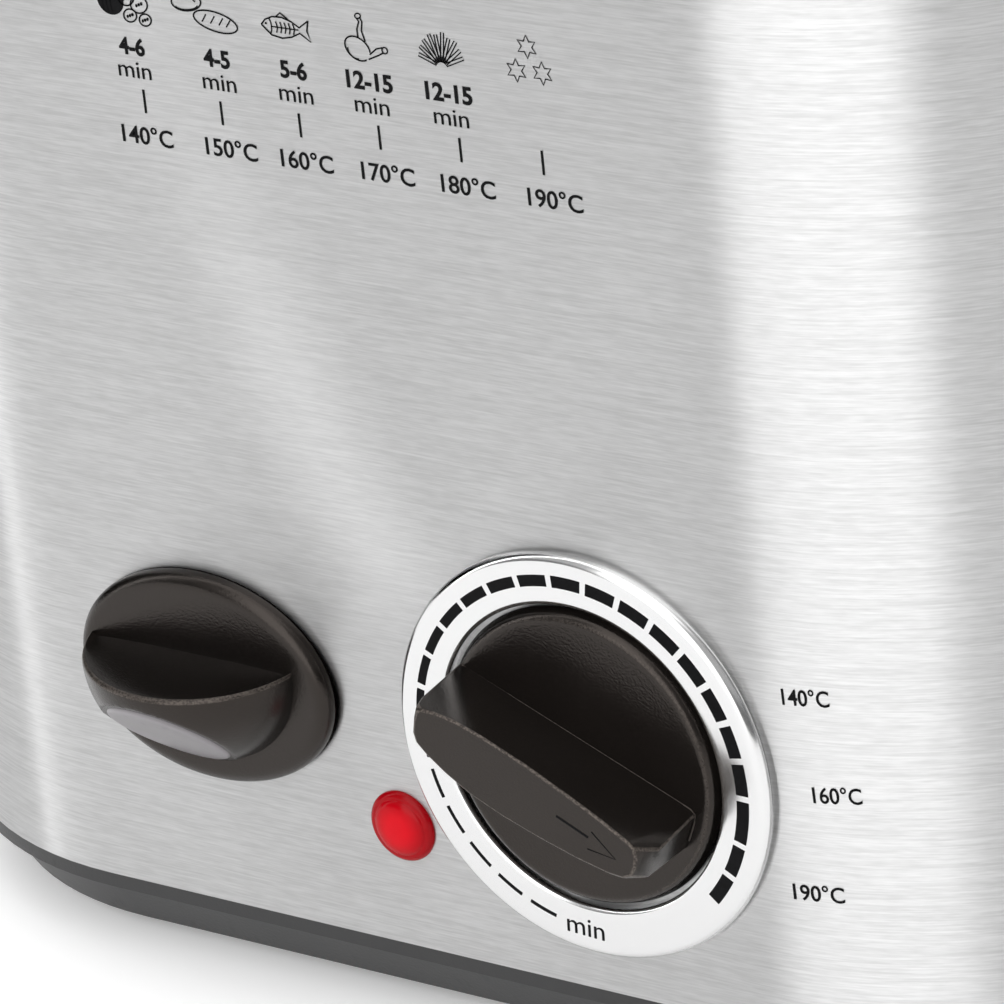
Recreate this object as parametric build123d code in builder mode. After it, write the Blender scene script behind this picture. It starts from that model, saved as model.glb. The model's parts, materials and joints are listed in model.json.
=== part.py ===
from build123d import *
import os
from math import cos, radians, sin

# Household deep fryer with a steel housing, a fixed frying bowl, a lift-out basket and a hinged lid.
# Millimetres. X runs to the right, Y to the back, Z up. The origin is on the table, under the middle
# of the housing. The control panel is the front wall of the steel housing.

# Housing
body_width = 257.0
body_depth = 280.0
corner_radius = 64.0
foot_drop = 3.0
base_height = 11.7
lip_height = 2.5
base_step = 2.0
base_taper = 5.0
floor_thickness = 2.6
shell_height = 185.3
steel = 0.8
shell_fit = 0.3
plastic_wall = 2.4
upstand_height = 8.0

# Collar that closes the top of the housing
collar_height = 14.0
collar_overhang = 1.6
collar_skirt = 6.0
collar_inner_skirt = 8.0
collar_top = 6.5
rim_width = 33.5

# Frying bowl and basket
control_bay = 81.3
corner_step = 14.0
bowl_wall = 1.6
bowl_bottom_fillet = 18.0
flange_width = 12.0
flange_thickness = 1.5
seal_thickness = 1.2
ledge_play = 1.0
bowl_play = 2.0
basket_gap_side = 8.6
basket_gap_floor = 8.4
basket_rim_drop = 14.0
basket_taper = 5.0
basket_wire = 2.0
mesh_sheet = 0.8

# Lid
lid_gap = 0.6
lid_height = 44.0
lid_edge_fillet = 20.0
liner_sheet = 1.0
liner_top_gap = 2.2
liner_lift = 3.0
gasket_inset = 7.0
hinge_pin_radius = 2.5
hinge_play = 0.08
hinge_back = 9.0
hinge_rise = 7.0
arm_width = 7.5
arm_spread = 40.0
side_play = 0.4
window_length = 118.0
window_depth = 56.0
window_y = -50.0
filter_length = 120.0
filter_depth = 52.0
filter_y = 62.0
cover_pin_radius = 1.4

# Thermostat, drain valve and pilot lamp, placed from the middle of the panel and the shell's lower edge
dial_x = 35.9
dial_up = 41.9
ring_radius = 34.4
ring_thickness = 2.5
knob_radius = 25.3
ring_inner_radius = knob_radius + 0.6
knob_face = 3.0
knob_reach = 17.7
knob_turn = -22.4
bar_thickness = 7.5
bar_left = 24.5
bar_right = 21.8
bar_left_rounding = 2.6
bar_right_rounding = 1.2
knob_gap = 0.6
spindle_radius = 3.0
spindle_play = 0.06
valve_x = -37.4
valve_up = 42.0
valve_y = -60.0
drain_knob_width = 50.0
drain_knob_height = 36.6
drain_knob_plate = 2.8
drain_grip_x = -1.3
drain_grip_up = 3.3
drain_grip_half = 20.4
drain_grip_reach = 17.6
ridge_rounding = 0.7
scoop_radius = 26.0
scoop_depth = 0.7
pad_distance = 14.2
pad_tilt = 48.0
pad_thickness = 0.8
stem_radius = 4.0
rotor_radius = 9.0
rotor_length = 28.0
pipe_radius = 7.5
pipe_bore = 5.0
hose_wall = 2.0
nozzle_reach = 20.0
lamp_x = -2.0
lamp_up = 21.6
lamp_radius = 6.1
lamp_reach = 2.0

# Heating
element_radius = 3.25
element_width = 110.0
element_depth = 110.0
element_x = 5.0
element_y = 25.0
element_gap = 0.3

# Grips, latch button, rear parts, fixings
grip_length = 92.0
grip_reach = 21.9
grip_height = 12.0
grip_bar = 9.0
button_width = 34.0
button_height = 9.0
button_reach = 2.5
button_play = 0.4
spring_wire = 0.6
rod_radius = 2.0
rod_side = 30.5
rod_front = 30.0
hinge_block = 128.0
hinge_block_reach = 18.0
cord_bore = 3.7
cord_x = 60.0
cord_up = 22.0

# Levels worked out from the sizes above
z_base = foot_drop
z_floor = z_base + floor_thickness
z_shell = z_base + base_height
z_steel_top = z_shell + shell_height
z_rim = z_steel_top + collar_height
z_bowl = z_shell + control_bay
z_ledge = z_rim - seal_thickness - flange_thickness - 0.8
z_flange = z_ledge + seal_thickness + flange_thickness
z_lid = z_rim + lid_gap
z_lid_top = z_lid + lid_height
z_liner = z_rim + liner_lift
z_hinge = z_rim + hinge_rise
z_dial = z_shell + dial_up
z_valve = z_shell + valve_up
z_lamp = z_shell + lamp_up
z_basket = z_bowl + bowl_wall + basket_gap_floor
z_basket_rim = z_rim - basket_rim_drop

front = -body_depth / 2
back = body_depth / 2
side = body_width / 2
inner_front = front + steel
y_hinge = back + hinge_back

# Plan sizes of the pieces that nest inside one another
collar_width = body_width + 2 * collar_overhang
collar_depth = body_depth + 2 * collar_overhang
collar_corner = corner_radius + collar_overhang
bowl_width = body_width - 2 * rim_width
bowl_depth = body_depth - 2 * rim_width
bowl_corner = corner_radius - corner_step
lid_inner_width = collar_width - 2 * plastic_wall
lid_inner_depth = collar_depth - 2 * plastic_wall
lid_inner_corner = collar_corner - plastic_wall
pan_width = bowl_width + 2 * gasket_inset
pan_depth = bowl_depth + 2 * gasket_inset
pan_corner = bowl_corner + gasket_inset
basket_width = bowl_width - 2 * bowl_wall - 2 * basket_gap_side
basket_depth = bowl_depth - 2 * bowl_wall - 2 * basket_gap_side
basket_corner = bowl_corner - bowl_wall - basket_gap_side


def front_plane(y):
    """A plane facing the front, whose own x and y are the object's X and Z."""
    return Plane(origin=(0, y, 0), x_dir=(1, 0, 0), z_dir=(0, -1, 0))


def side_plane(x):
    """A plane facing right, whose own x and y are the object's Y and Z."""
    return Plane(origin=(x, 0, 0), x_dir=(0, 1, 0), z_dir=(1, 0, 0))


def rounded_block(width, depth, radius, low, high, mode=Mode.ADD, centre=(0, 0)):
    """A vertical prism on a rounded rectangle, from one level to another."""
    with BuildSketch(Plane.XY.offset(low)) as outline:
        with Locations(centre):
            RectangleRounded(width, depth, radius)
    extrude(outline.sketch, amount=high - low, mode=mode)


def block(x_span, y_span, z_span, mode=Mode.ADD):
    """A plain box between two values of X, Y and Z."""
    with BuildSketch(Plane.XY.offset(z_span[0])) as outline:
        with Locations(((x_span[0] + x_span[1]) / 2, (y_span[0] + y_span[1]) / 2)):
            Rectangle(x_span[1] - x_span[0], y_span[1] - y_span[0])
    extrude(outline.sketch, amount=z_span[1] - z_span[0], mode=mode)


def rod_x(y, z, radius, start, end, mode=Mode.ADD):
    """A round bar along X."""
    with BuildSketch(side_plane(start)) as outline:
        with Locations((y, z)):
            Circle(radius)
    extrude(outline.sketch, amount=end - start, mode=mode)


def rod_y(x, z, radius, start, end, mode=Mode.ADD):
    """A round bar along Y, from the nearer end to the farther one."""
    with BuildSketch(front_plane(end)) as outline:
        with Locations((x, z)):
            Circle(radius)
    extrude(outline.sketch, amount=end - start, mode=mode)


def rod_z(x, y, radius, low, high, mode=Mode.ADD):
    """A round bar along Z."""
    with BuildSketch(Plane.XY.offset(low)) as outline:
        with Locations((x, y)):
            Circle(radius)
    extrude(outline.sketch, amount=high - low, mode=mode)


def finish(piece, name):
    """Label a piece and write its STEP file."""
    piece.part.label = name
    export_step(piece.part, f"parts/{name}.step")


os.makedirs("parts", exist_ok=True)

# Places that several pieces share
feet = [(x, y) for x in (-(side - 42.0), side - 42.0) for y in (front + 42.0, back - 42.0)]
rods = [(x, y) for x in (rod_side - side, side - rod_side) for y in (front + rod_front, back - rod_front)]
lid_screw_places = [(x, y) for x in (-(pan_width / 2 + 12.0), pan_width / 2 + 12.0) for y in (-60.0, 60.0)]
bracket_screw_places = [(dial_x - 16.0, z_dial), (dial_x + 16.0, z_dial)]
ring_peg_places = [
    (dial_x + 30.0 * cos(radians(angle)), z_dial + 30.0 * sin(radians(angle))) for angle in (90, 210, 330)
]
foot_stem = 3.0
rod_head = 3.8

# Base tray: a lip in line with the steel, then a wall that steps in and narrows down to the floor.
with BuildPart() as base_tray:
    rounded_block(body_width, body_depth, corner_radius, z_shell - lip_height, z_shell)
    with BuildSketch(Plane.XY.offset(z_base)) as base_foot:
        RectangleRounded(
            body_width - 2 * (base_step + base_taper),
            body_depth - 2 * (base_step + base_taper),
            corner_radius - base_step - base_taper,
        )
    with BuildSketch(Plane.XY.offset(z_shell - lip_height)) as base_head:
        RectangleRounded(
            body_width - 2 * base_step,
            body_depth - 2 * base_step,
            corner_radius - base_step,
        )
    loft([base_foot.sketch, base_head.sketch])
    fillet(base_tray.faces().sort_by(Axis.Z)[0].edges(), 1.0)
    upstand_width = body_width - 2 * steel - 2 * shell_fit
    upstand_depth = body_depth - 2 * steel - 2 * shell_fit
    upstand_corner = corner_radius - steel - shell_fit
    rounded_block(upstand_width, upstand_depth, upstand_corner, z_shell, z_shell + upstand_height)
    hollow_inset = base_step + base_taper + plastic_wall
    rounded_block(
        body_width - 2 * hollow_inset,
        body_depth - 2 * hollow_inset,
        corner_radius - hollow_inset,
        z_floor,
        z_shell + upstand_height,
        Mode.SUBTRACT,
    )
    for x, y in rods:
        rod_z(x, y, 7.0, z_floor - 0.5, z_floor + 6.0)
        rod_z(x, y, rod_head + 0.6, z_base - 0.5, z_floor + 2.5, Mode.SUBTRACT)
        rod_z(x, y, rod_radius + 0.3, z_base, z_floor + 7.0, Mode.SUBTRACT)
    for x, y in feet:
        rod_z(x, y, foot_stem, z_base - 0.5, z_floor + 0.5, Mode.SUBTRACT)
    with BuildSketch(Plane.XY.offset(z_base - 1.0)) as floor_vents:
        with GridLocations(9.0, 80.0, 9, 2):
            SlotOverall(44.0, 4.0, rotation=90)
    extrude(floor_vents.sketch, amount=floor_thickness + 2.0, mode=Mode.SUBTRACT)
finish(base_tray, "base_tray")

with BuildPart() as rubber_feet:
    for x, y in feet:
        rod_z(x, y, 9.0, 0.0, z_base)
        rod_z(x, y, foot_stem, z_base, z_floor)
        rod_z(x, y, foot_stem + 1.0, z_floor, z_floor + 1.4)
finish(rubber_feet, "rubber_feet")

# Long screws that clamp the steel shell between the base tray and the collar.
with BuildPart() as tie_rods:
    for x, y in rods:
        rod_z(x, y, rod_head, z_floor + 0.2, z_floor + 2.5)
        rod_z(x, y, rod_radius, z_floor + 2.5, z_ledge - 5.0)
finish(tie_rods, "tie_rods")

# Wrap-round steel shell with its holes.
stem_hole = stem_radius + 2.0
lamp_hole = lamp_radius - 1.0
nozzle_hole = pipe_radius + 0.3
gland_hole = cord_bore + 4.0
with BuildPart() as steel_shell:
    rounded_block(body_width, body_depth, corner_radius, z_shell, z_steel_top)
    rounded_block(
        body_width - 2 * steel,
        body_depth - 2 * steel,
        corner_radius - steel,
        z_shell - 1.0,
        z_steel_top + 1.0,
        Mode.SUBTRACT,
    )
    rod_y(dial_x, z_dial, spindle_radius + 3.0, front - 2.0, front + 6.0, Mode.SUBTRACT)
    rod_y(valve_x, z_valve, stem_hole, front - 2.0, front + 6.0, Mode.SUBTRACT)
    rod_y(lamp_x, z_lamp, lamp_hole, front - 2.0, front + 6.0, Mode.SUBTRACT)
    for x, z in bracket_screw_places:
        rod_y(x, z, 2.9, front - 2.0, front + 6.0, Mode.SUBTRACT)
    for x, z in ring_peg_places:
        rod_y(x, z, 1.4, front - 2.0, front + 6.0, Mode.SUBTRACT)
    rod_x(valve_y, z_valve, nozzle_hole, -side - 2.0, -side + 6.0, Mode.SUBTRACT)
    rod_y(cord_x, z_shell + cord_up, gland_hole, back - 6.0, back + 2.0, Mode.SUBTRACT)
    with BuildSketch(front_plane(back + 2.0)) as rear_louvres:
        with Locations((-20.0, z_shell + 34.0)):
            with GridLocations(10.0, 0.0, 8, 1):
                SlotOverall(30.0, 3.0, rotation=90)
    extrude(rear_louvres.sketch, amount=6.0, mode=Mode.SUBTRACT)
finish(steel_shell, "steel_shell")

# Latch places, shared by the collar, the button and the lid's latch blade
y_collar_front = front - collar_overhang
y_flange_plate = front + steel + shell_fit + plastic_wall + 0.5
button_z = z_rim - 8.3
latch_x = 9.0
latch_half = 3.4
latch_y = front + 11.8
latch_thickness = 3.0
latch_gap = 0.7
spring_x = -9.0
y_spring_seat = y_flange_plate + 11.0
button_stem = 1.6
y_hinge_end = back + hinge_block_reach
pin_inner = arm_spread - arm_width - side_play
pin_length = 3 * arm_width + 2 * side_play

# Collar: covers the steel's top edge outside and inside, carries the bowl on a ledge, and holds the hinge.
opening_width = bowl_width + 2 * bowl_play
opening_depth = bowl_depth + 2 * bowl_play
opening_corner = bowl_corner + bowl_play
ledge_grow = 2 * flange_width + 2 * ledge_play
skirt_outer_width = body_width - 2 * steel - 2 * shell_fit
skirt_outer_depth = body_depth - 2 * steel - 2 * shell_fit
skirt_outer_corner = corner_radius - steel - shell_fit
with BuildPart() as top_collar:
    rounded_block(collar_width, collar_depth, collar_corner, z_steel_top - collar_skirt, z_rim)
    fillet(top_collar.faces().sort_by(Axis.Z)[-1].edges(), 2.5)
    rounded_block(
        body_width + 0.2,
        body_depth + 0.2,
        corner_radius + 0.1,
        z_steel_top - collar_skirt - 1.0,
        z_steel_top,
        Mode.SUBTRACT,
    )
    rounded_block(
        skirt_outer_width,
        skirt_outer_depth,
        skirt_outer_corner,
        z_steel_top - collar_inner_skirt,
        z_steel_top,
    )
    rounded_block(
        skirt_outer_width - 2 * plastic_wall,
        skirt_outer_depth - 2 * plastic_wall,
        skirt_outer_corner - plastic_wall,
        z_steel_top - collar_inner_skirt - 1.0,
        z_rim - collar_top,
        Mode.SUBTRACT,
    )
    rounded_block(
        opening_width + 2 * plastic_wall,
        opening_depth + 2 * plastic_wall,
        opening_corner + plastic_wall,
        z_steel_top - collar_inner_skirt,
        z_rim - collar_top,
    )
    for x, y in rods:
        rod_z(x, y, 6.0, z_steel_top - collar_inner_skirt, z_rim - collar_top)
    block((-hinge_block / 2, hinge_block / 2), (back + 0.5, y_hinge_end), (z_steel_top - 4.0, z_rim))
    for sign in (-1, 1):
        for inner in (arm_spread - side_play - arm_width, arm_spread + arm_width + side_play):
            lug_low = min(sign * inner, sign * (inner + arm_width))
            rod_x(y_hinge, z_hinge, 5.0, lug_low, lug_low + arm_width)
            block((lug_low, lug_low + arm_width), (y_hinge - 5.0, y_hinge + 5.0), (z_rim - 1.0, z_hinge))
        pin_low = min(sign * pin_inner, sign * (pin_inner + pin_length))
        rod_x(y_hinge, z_hinge, hinge_pin_radius, pin_low, pin_low + pin_length, Mode.SUBTRACT)
    spring_seat_y = (y_spring_seat, y_spring_seat + 2.0)
    block((spring_x - 5.0, spring_x + 5.0), spring_seat_y, (button_z - 4.5, z_rim - 2.0))
    rod_y(spring_x, button_z, button_stem + 0.4, y_spring_seat - 1.0, y_spring_seat + 3.0, Mode.SUBTRACT)
    rounded_block(
        opening_width,
        opening_depth,
        opening_corner,
        z_steel_top - collar_inner_skirt - 2.0,
        z_rim + 1.0,
        Mode.SUBTRACT,
    )
    rounded_block(
        bowl_width + ledge_grow,
        bowl_depth + ledge_grow,
        bowl_corner + ledge_grow / 2,
        z_ledge,
        z_rim + 1.0,
        Mode.SUBTRACT,
    )
    for x, y in rods:
        rod_z(x, y, rod_radius + 0.02, z_steel_top - 20.0, z_ledge - 4.5, Mode.SUBTRACT)
    with BuildSketch(front_plane(y_flange_plate)) as button_window:
        with Locations((0, button_z)):
            RectangleRounded(button_width + 2 * button_play, button_height + 2 * button_play, 2.4)
    extrude(button_window.sketch, amount=12.0, mode=Mode.SUBTRACT)
    pocket_half = button_width / 2 + 3.0
    pocket_top = button_z + button_height / 2 + 0.6
    pocket_y = (y_flange_plate - 0.4, y_spring_seat)
    block((-pocket_half, pocket_half), pocket_y, (button_z - 2.0, pocket_top), Mode.SUBTRACT)
    latch_slot_y = (latch_y - 2.0, latch_y + latch_thickness + 1.2)
    latch_slot_x = (latch_x - latch_half - 1.0, latch_x + latch_half + 1.0)
    block(latch_slot_x, latch_slot_y, (z_rim - 9.0, z_rim + 1.0), Mode.SUBTRACT)
finish(top_collar, "top_collar")

with BuildPart() as hinge_pins:
    for sign in (-1, 1):
        pin_low = min(sign * pin_inner, sign * (pin_inner + pin_length))
        rod_x(y_hinge, z_hinge, hinge_pin_radius, pin_low, pin_low + pin_length)
finish(hinge_pins, "hinge_pins")


def make_grip(direction):
    """A side grip: a bar held off the collar by two ends, open in the middle for the fingers."""
    with BuildPart() as grip:
        x_wall = side + collar_overhang
        with BuildSketch(Plane.XY.offset(z_steel_top - 2.0)) as outline:
            with Locations((direction * (x_wall + grip_reach / 2), 0)):
                Rectangle(grip_reach, grip_length)
            with Locations((direction * (x_wall + (grip_reach - grip_bar) / 2), 0)):
                Rectangle(grip_reach - grip_bar, grip_length - 2 * grip_bar, mode=Mode.SUBTRACT)
        extrude(outline.sketch, amount=grip_height)
        outer_face = grip.faces().filter_by(Axis.X).sort_by(Axis.X)[-1 if direction > 0 else 0]
        fillet(outer_face.edges().filter_by(Axis.Z), 7.0)
        top_edges = grip.faces().sort_by(Axis.Z)[-1].outer_wire().edges()
        fillet(top_edges.filter_by(lambda edge: abs(edge.center().X) > x_wall + 1.0), 2.5)
    return grip


left_grip = make_grip(-1)
finish(left_grip, "left_grip")
right_grip = make_grip(1)
finish(right_grip, "right_grip")

# Frying bowl: pressed aluminium with a rounded floor, a flange that hangs on the collar and a drain hole.
with BuildPart() as frying_bowl:
    rounded_block(bowl_width, bowl_depth, bowl_corner, z_bowl, z_flange)
    fillet(frying_bowl.faces().sort_by(Axis.Z)[0].edges(), bowl_bottom_fillet)
    rounded_block(
        bowl_width + 2 * flange_width,
        bowl_depth + 2 * flange_width,
        bowl_corner + flange_width,
        z_flange - flange_thickness,
        z_flange,
    )
    with BuildPart(mode=Mode.PRIVATE) as bowl_hollow:
        rounded_block(
            bowl_width - 2 * bowl_wall,
            bowl_depth - 2 * bowl_wall,
            bowl_corner - bowl_wall,
            z_bowl + bowl_wall,
            z_flange + 1.0,
        )
        fillet(bowl_hollow.faces().sort_by(Axis.Z)[0].edges(), bowl_bottom_fillet - bowl_wall)
    add(bowl_hollow.part, mode=Mode.SUBTRACT)
    rod_z(valve_x, valve_y, pipe_radius + 0.2, z_bowl - 1.0, z_bowl + bowl_wall + 1.0, Mode.SUBTRACT)
finish(frying_bowl, "frying_bowl")

with BuildPart() as bowl_seal:
    rounded_block(
        bowl_width + 2 * flange_width,
        bowl_depth + 2 * flange_width,
        bowl_corner + flange_width,
        z_ledge,
        z_ledge + seal_thickness,
    )
    rounded_block(
        opening_width + 2.0,
        opening_depth + 2.0,
        opening_corner + 1.0,
        z_ledge - 1.0,
        z_ledge + seal_thickness + 1.0,
        Mode.SUBTRACT,
    )
finish(bowl_seal, "bowl_seal")

# Tubular heating element bent into a loop under the bowl, with a clamp plate that presses it up.
z_element = z_bowl - element_gap - element_radius
element_front = element_y - element_depth / 2
with BuildPart() as heating_element:
    with BuildLine(Plane.XY.offset(z_element)) as element_path:
        FilletPolyline(
            (element_x - 14.0, element_front),
            (element_x - element_width / 2, element_front),
            (element_x - element_width / 2, element_y + element_depth / 2),
            (element_x + element_width / 2, element_y + element_depth / 2),
            (element_x + element_width / 2, element_front),
            (element_x + 14.0, element_front),
            radius=24.0,
        )
    with BuildSketch(Plane(origin=element_path.line @ 0, z_dir=element_path.line % 0)) as element_section:
        Circle(element_radius)
    sweep(element_section.sketch, path=element_path.line)
finish(heating_element, "heating_element")

with BuildPart() as element_terminals:
    for offset_x, socket_start in ((-14.0, -20.0), (14.0, 14.0)):
        block_x = (element_x + offset_x - 4.5, element_x + offset_x + 4.5)
        block(block_x, (element_front - 4.5, element_front + 4.5), (z_element - 5.5, z_element + 3.4))
        socket_x = element_x + socket_start
        rod_x(element_front, z_element, element_radius + 0.05, socket_x, socket_x + 6.0, Mode.SUBTRACT)
        rod_z(element_x + offset_x, element_front, 1.5, z_element - 16.0, z_element - 5.5)
finish(element_terminals, "element_terminals")

z_clamp = z_element - element_radius - 0.2
clamp_centre = (element_x, element_y + 4.0)
with BuildPart() as clamp_plate:
    clamp_size = (element_width + 14.0, element_depth - 4.0, 12.0)
    rounded_block(*clamp_size, z_clamp - 1.5, z_clamp, centre=clamp_centre)
    rounded_block(42.0, 42.0, 8.0, z_clamp - 2.0, z_clamp + 1.0, Mode.SUBTRACT, clamp_centre)
finish(clamp_plate, "clamp_plate")

z_cutout = z_clamp - 1.5
with BuildPart() as thermal_cutout:
    rod_z(element_x + 36.0, element_y, 8.0, z_cutout - 6.0, z_cutout)
    rod_z(element_x + 36.0, element_y, 5.0, z_cutout - 9.0, z_cutout - 6.0)
finish(thermal_cutout, "thermal_cutout")

with BuildPart() as heat_shield:
    shield_low = z_cutout - 12.0
    shield_size = (element_width + 24.0, element_depth - 6.0, 14.0)
    rounded_block(*shield_size, shield_low, shield_low + 8.0, centre=clamp_centre)
    rounded_block(
        element_width + 24.0 - 2 * steel,
        element_depth - 6.0 - 2 * steel,
        14.0 - steel,
        shield_low + steel,
        shield_low + 9.0,
        Mode.SUBTRACT,
        clamp_centre,
    )
finish(heat_shield, "heat_shield")

# Stay posts that carry the shield from the base floor.
with BuildPart() as shield_posts:
    for x in (clamp_centre[0] - 50.0, clamp_centre[0] + 50.0):
        for y in (clamp_centre[1] - 44.0, clamp_centre[1] + 44.0):
            rod_z(x, y, 3.0, z_floor, z_cutout - 12.0)
finish(shield_posts, "shield_posts")

# Thermostat behind the dial, its bracket, screws, bulb and capillary tube.
y_bracket = inner_front + 0.6
y_thermostat = y_bracket + 7.0
thermostat_depth = 25.0
thermostat_half = 17.0
neck_radius = 5.0
with BuildPart() as thermostat_bracket:
    with BuildSketch(front_plane(y_bracket + 1.2)) as bracket_outline:
        with Locations((dial_x, z_dial)):
            RectangleRounded(46.0, 34.0, 4.0)
            Circle(neck_radius + 0.1, mode=Mode.SUBTRACT)
    extrude(bracket_outline.sketch, amount=1.2)
    for x, z in bracket_screw_places:
        rod_y(x, z, 1.6, y_bracket - 1.0, y_bracket + 3.0, Mode.SUBTRACT)
finish(thermostat_bracket, "thermostat_bracket")

with BuildPart() as bracket_screws:
    for x, z in bracket_screw_places:
        rod_y(x, z, 2.8, front, inner_front)
        rod_y(x, z, 1.5, inner_front, y_bracket + 4.0)
finish(bracket_screws, "bracket_screws")

with BuildPart() as thermostat_body:
    block(
        (dial_x - thermostat_half, dial_x + thermostat_half),
        (y_thermostat, y_thermostat + thermostat_depth),
        (z_dial - thermostat_half, z_dial + thermostat_half - 2.0),
    )
    fillet(thermostat_body.edges().filter_by(Axis.Y), 3.0)
    rod_y(dial_x, z_dial, neck_radius, y_bracket - 0.5, y_thermostat)
    rod_y(dial_x, z_dial, spindle_radius + spindle_play, y_bracket - 2.0, y_thermostat + 16.0, Mode.SUBTRACT)
    for offset_x in (-9.0, 9.0):
        tab_x = (dial_x + offset_x - 3.0, dial_x + offset_x + 3.0)
        tab_y = (y_thermostat + thermostat_depth, y_thermostat + thermostat_depth + 8.0)
        block(tab_x, tab_y, (z_dial - 0.4, z_dial + 0.4))
finish(thermostat_body, "thermostat_body")

bulb_y = element_front - 12.0
bulb_z = z_bowl - 3.4
capillary_x = dial_x + 10.0
capillary_y = y_thermostat + 12.0
z_thermostat_top = z_dial + thermostat_half - 2.0
with BuildPart() as sensing_bulb:
    rod_x(bulb_y, bulb_z, 3.0, capillary_x - 74.0 + 10.0, capillary_x - 10.0)
finish(sensing_bulb, "sensing_bulb")

with BuildPart() as capillary_tube:
    with BuildLine() as capillary_path:
        FilletPolyline(
            (capillary_x, capillary_y, z_thermostat_top),
            (capillary_x, capillary_y, bulb_z),
            (capillary_x, bulb_y, bulb_z),
            (capillary_x - 10.0, bulb_y, bulb_z),
            radius=6.0,
        )
    capillary_start = Plane(origin=capillary_path.line @ 0, z_dir=capillary_path.line % 0)
    with BuildSketch(capillary_start) as capillary_section:
        Circle(0.9)
    sweep(capillary_section.sketch, path=capillary_path.line)
finish(capillary_tube, "capillary_tube")

# Dial ring: a flat band with a rolled outer edge, held by three pegs through the shell.
with BuildPart() as dial_ring:
    with BuildSketch(front_plane(front)) as ring_outline:
        with Locations((dial_x, z_dial)):
            Circle(ring_radius)
            Circle(ring_inner_radius, mode=Mode.SUBTRACT)
    extrude(ring_outline.sketch, amount=ring_thickness)
    ring_front = dial_ring.faces().sort_by(Axis.Y)[0]
    fillet(ring_front.outer_wire().edges(), 1.6)
    fillet(dial_ring.faces().filter_by(GeomType.PLANE).sort_by(Axis.Y)[0].inner_wires()[0].edges(), 0.5)
    for x, z in ring_peg_places:
        rod_y(x, z, 1.3, front - 0.5, front + 2.0)
finish(dial_ring, "dial_ring")

# Thermostat knob: a disc inside the ring with a straight bar grip across it.
knob_plane = Plane(
    origin=(dial_x, front - knob_face, z_dial),
    x_dir=(cos(radians(knob_turn)), 0, sin(radians(knob_turn))),
    z_dir=(0, -1, 0),
)
with BuildPart() as thermostat_knob:
    rod_y(dial_x, z_dial, knob_radius, front - knob_face, front - knob_gap)
    fillet(thermostat_knob.faces().sort_by(Axis.Y)[0].edges(), 1.4)
    with BuildSketch(knob_plane.offset(-1.0)) as bar_outline:
        with Locations(((bar_right - bar_left) / 2, 0)):
            Rectangle(bar_left + bar_right, bar_thickness)
        fillet(bar_outline.vertices().group_by(Axis.X)[0], bar_left_rounding)
        fillet(bar_outline.vertices().group_by(Axis.X)[-1], bar_right_rounding)
    extrude(bar_outline.sketch, amount=knob_reach - knob_face + 1.0)
    fillet(thermostat_knob.faces().sort_by(Axis.Y)[0].edges(), 0.9)
    rod_y(dial_x, z_dial, spindle_radius + 0.02, front - 12.0, front + 1.0, Mode.SUBTRACT)
finish(thermostat_knob, "thermostat_knob")

spindle_flat = 0.9
with BuildPart() as knob_spindle:
    rod_y(dial_x, z_dial, spindle_radius, front - 11.5, y_thermostat + 14.0)
    flat_z = (z_dial + spindle_radius - spindle_flat, z_dial + spindle_radius + 1.0)
    block((dial_x - 4.0, dial_x + 4.0), (front - 12.0, front - 1.0), flat_z, Mode.SUBTRACT)
finish(knob_spindle, "knob_spindle")

with BuildPart() as knob_clip:
    clip_z = (z_dial + spindle_radius - spindle_flat, z_dial + spindle_radius - spindle_flat + 0.5)
    block((dial_x - 1.4, dial_x + 1.4), (front - 10.5, front - 1.5), clip_z)
finish(knob_clip, "knob_clip")

# Pilot lamp: red lens, socket behind the panel and the neon inside it.
with BuildPart() as pilot_lens:
    rod_y(lamp_x, z_lamp, lamp_radius, front - lamp_reach, front)
    fillet(pilot_lens.faces().sort_by(Axis.Y)[0].edges(), lamp_reach * 0.8)
    rod_y(lamp_x, z_lamp, lamp_hole - 0.1, front, front + 10.0)
    rod_y(lamp_x, z_lamp, lamp_hole - 1.4, front, front + 11.0, Mode.SUBTRACT)
finish(pilot_lens, "pilot_lens")

with BuildPart() as lamp_socket:
    rod_y(lamp_x, z_lamp, lamp_hole + 2.0, inner_front, front + 22.0)
    rod_y(lamp_x, z_lamp, lamp_hole, inner_front - 1.0, front + 20.0, Mode.SUBTRACT)
finish(lamp_socket, "lamp_socket")

with BuildPart() as neon_lamp:
    rod_y(lamp_x, z_lamp, 2.4, front + 3.0, front + 20.0)
finish(neon_lamp, "neon_lamp")

# Drain valve: bowl outlet, valve body with a quarter-turn rotor, hose and the spout on the left wall.
z_valve_top = z_valve + rotor_radius + 14.0
y_valve_front = valve_y - rotor_length / 2
y_valve_back = valve_y + rotor_length / 2
valve_wall = 4.0
with BuildPart() as drain_outlet:
    rod_z(valve_x, valve_y, pipe_radius + 4.5, z_bowl + bowl_wall, z_bowl + bowl_wall + 1.4)
    rod_z(valve_x, valve_y, pipe_radius, z_valve + rotor_radius + 5.0, z_bowl + bowl_wall)
    rod_z(valve_x, valve_y, pipe_bore, z_valve, z_bowl + bowl_wall + 3.0, Mode.SUBTRACT)
finish(drain_outlet, "drain_outlet")

with BuildPart() as outlet_nut:
    with BuildSketch(Plane.XY.offset(z_bowl - 6.0)) as nut_outline:
        with Locations((valve_x, valve_y)):
            RegularPolygon(pipe_radius + 5.0, 6)
            Circle(pipe_radius + 0.05, mode=Mode.SUBTRACT)
    extrude(nut_outline.sketch, amount=5.0)
finish(outlet_nut, "outlet_nut")

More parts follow.
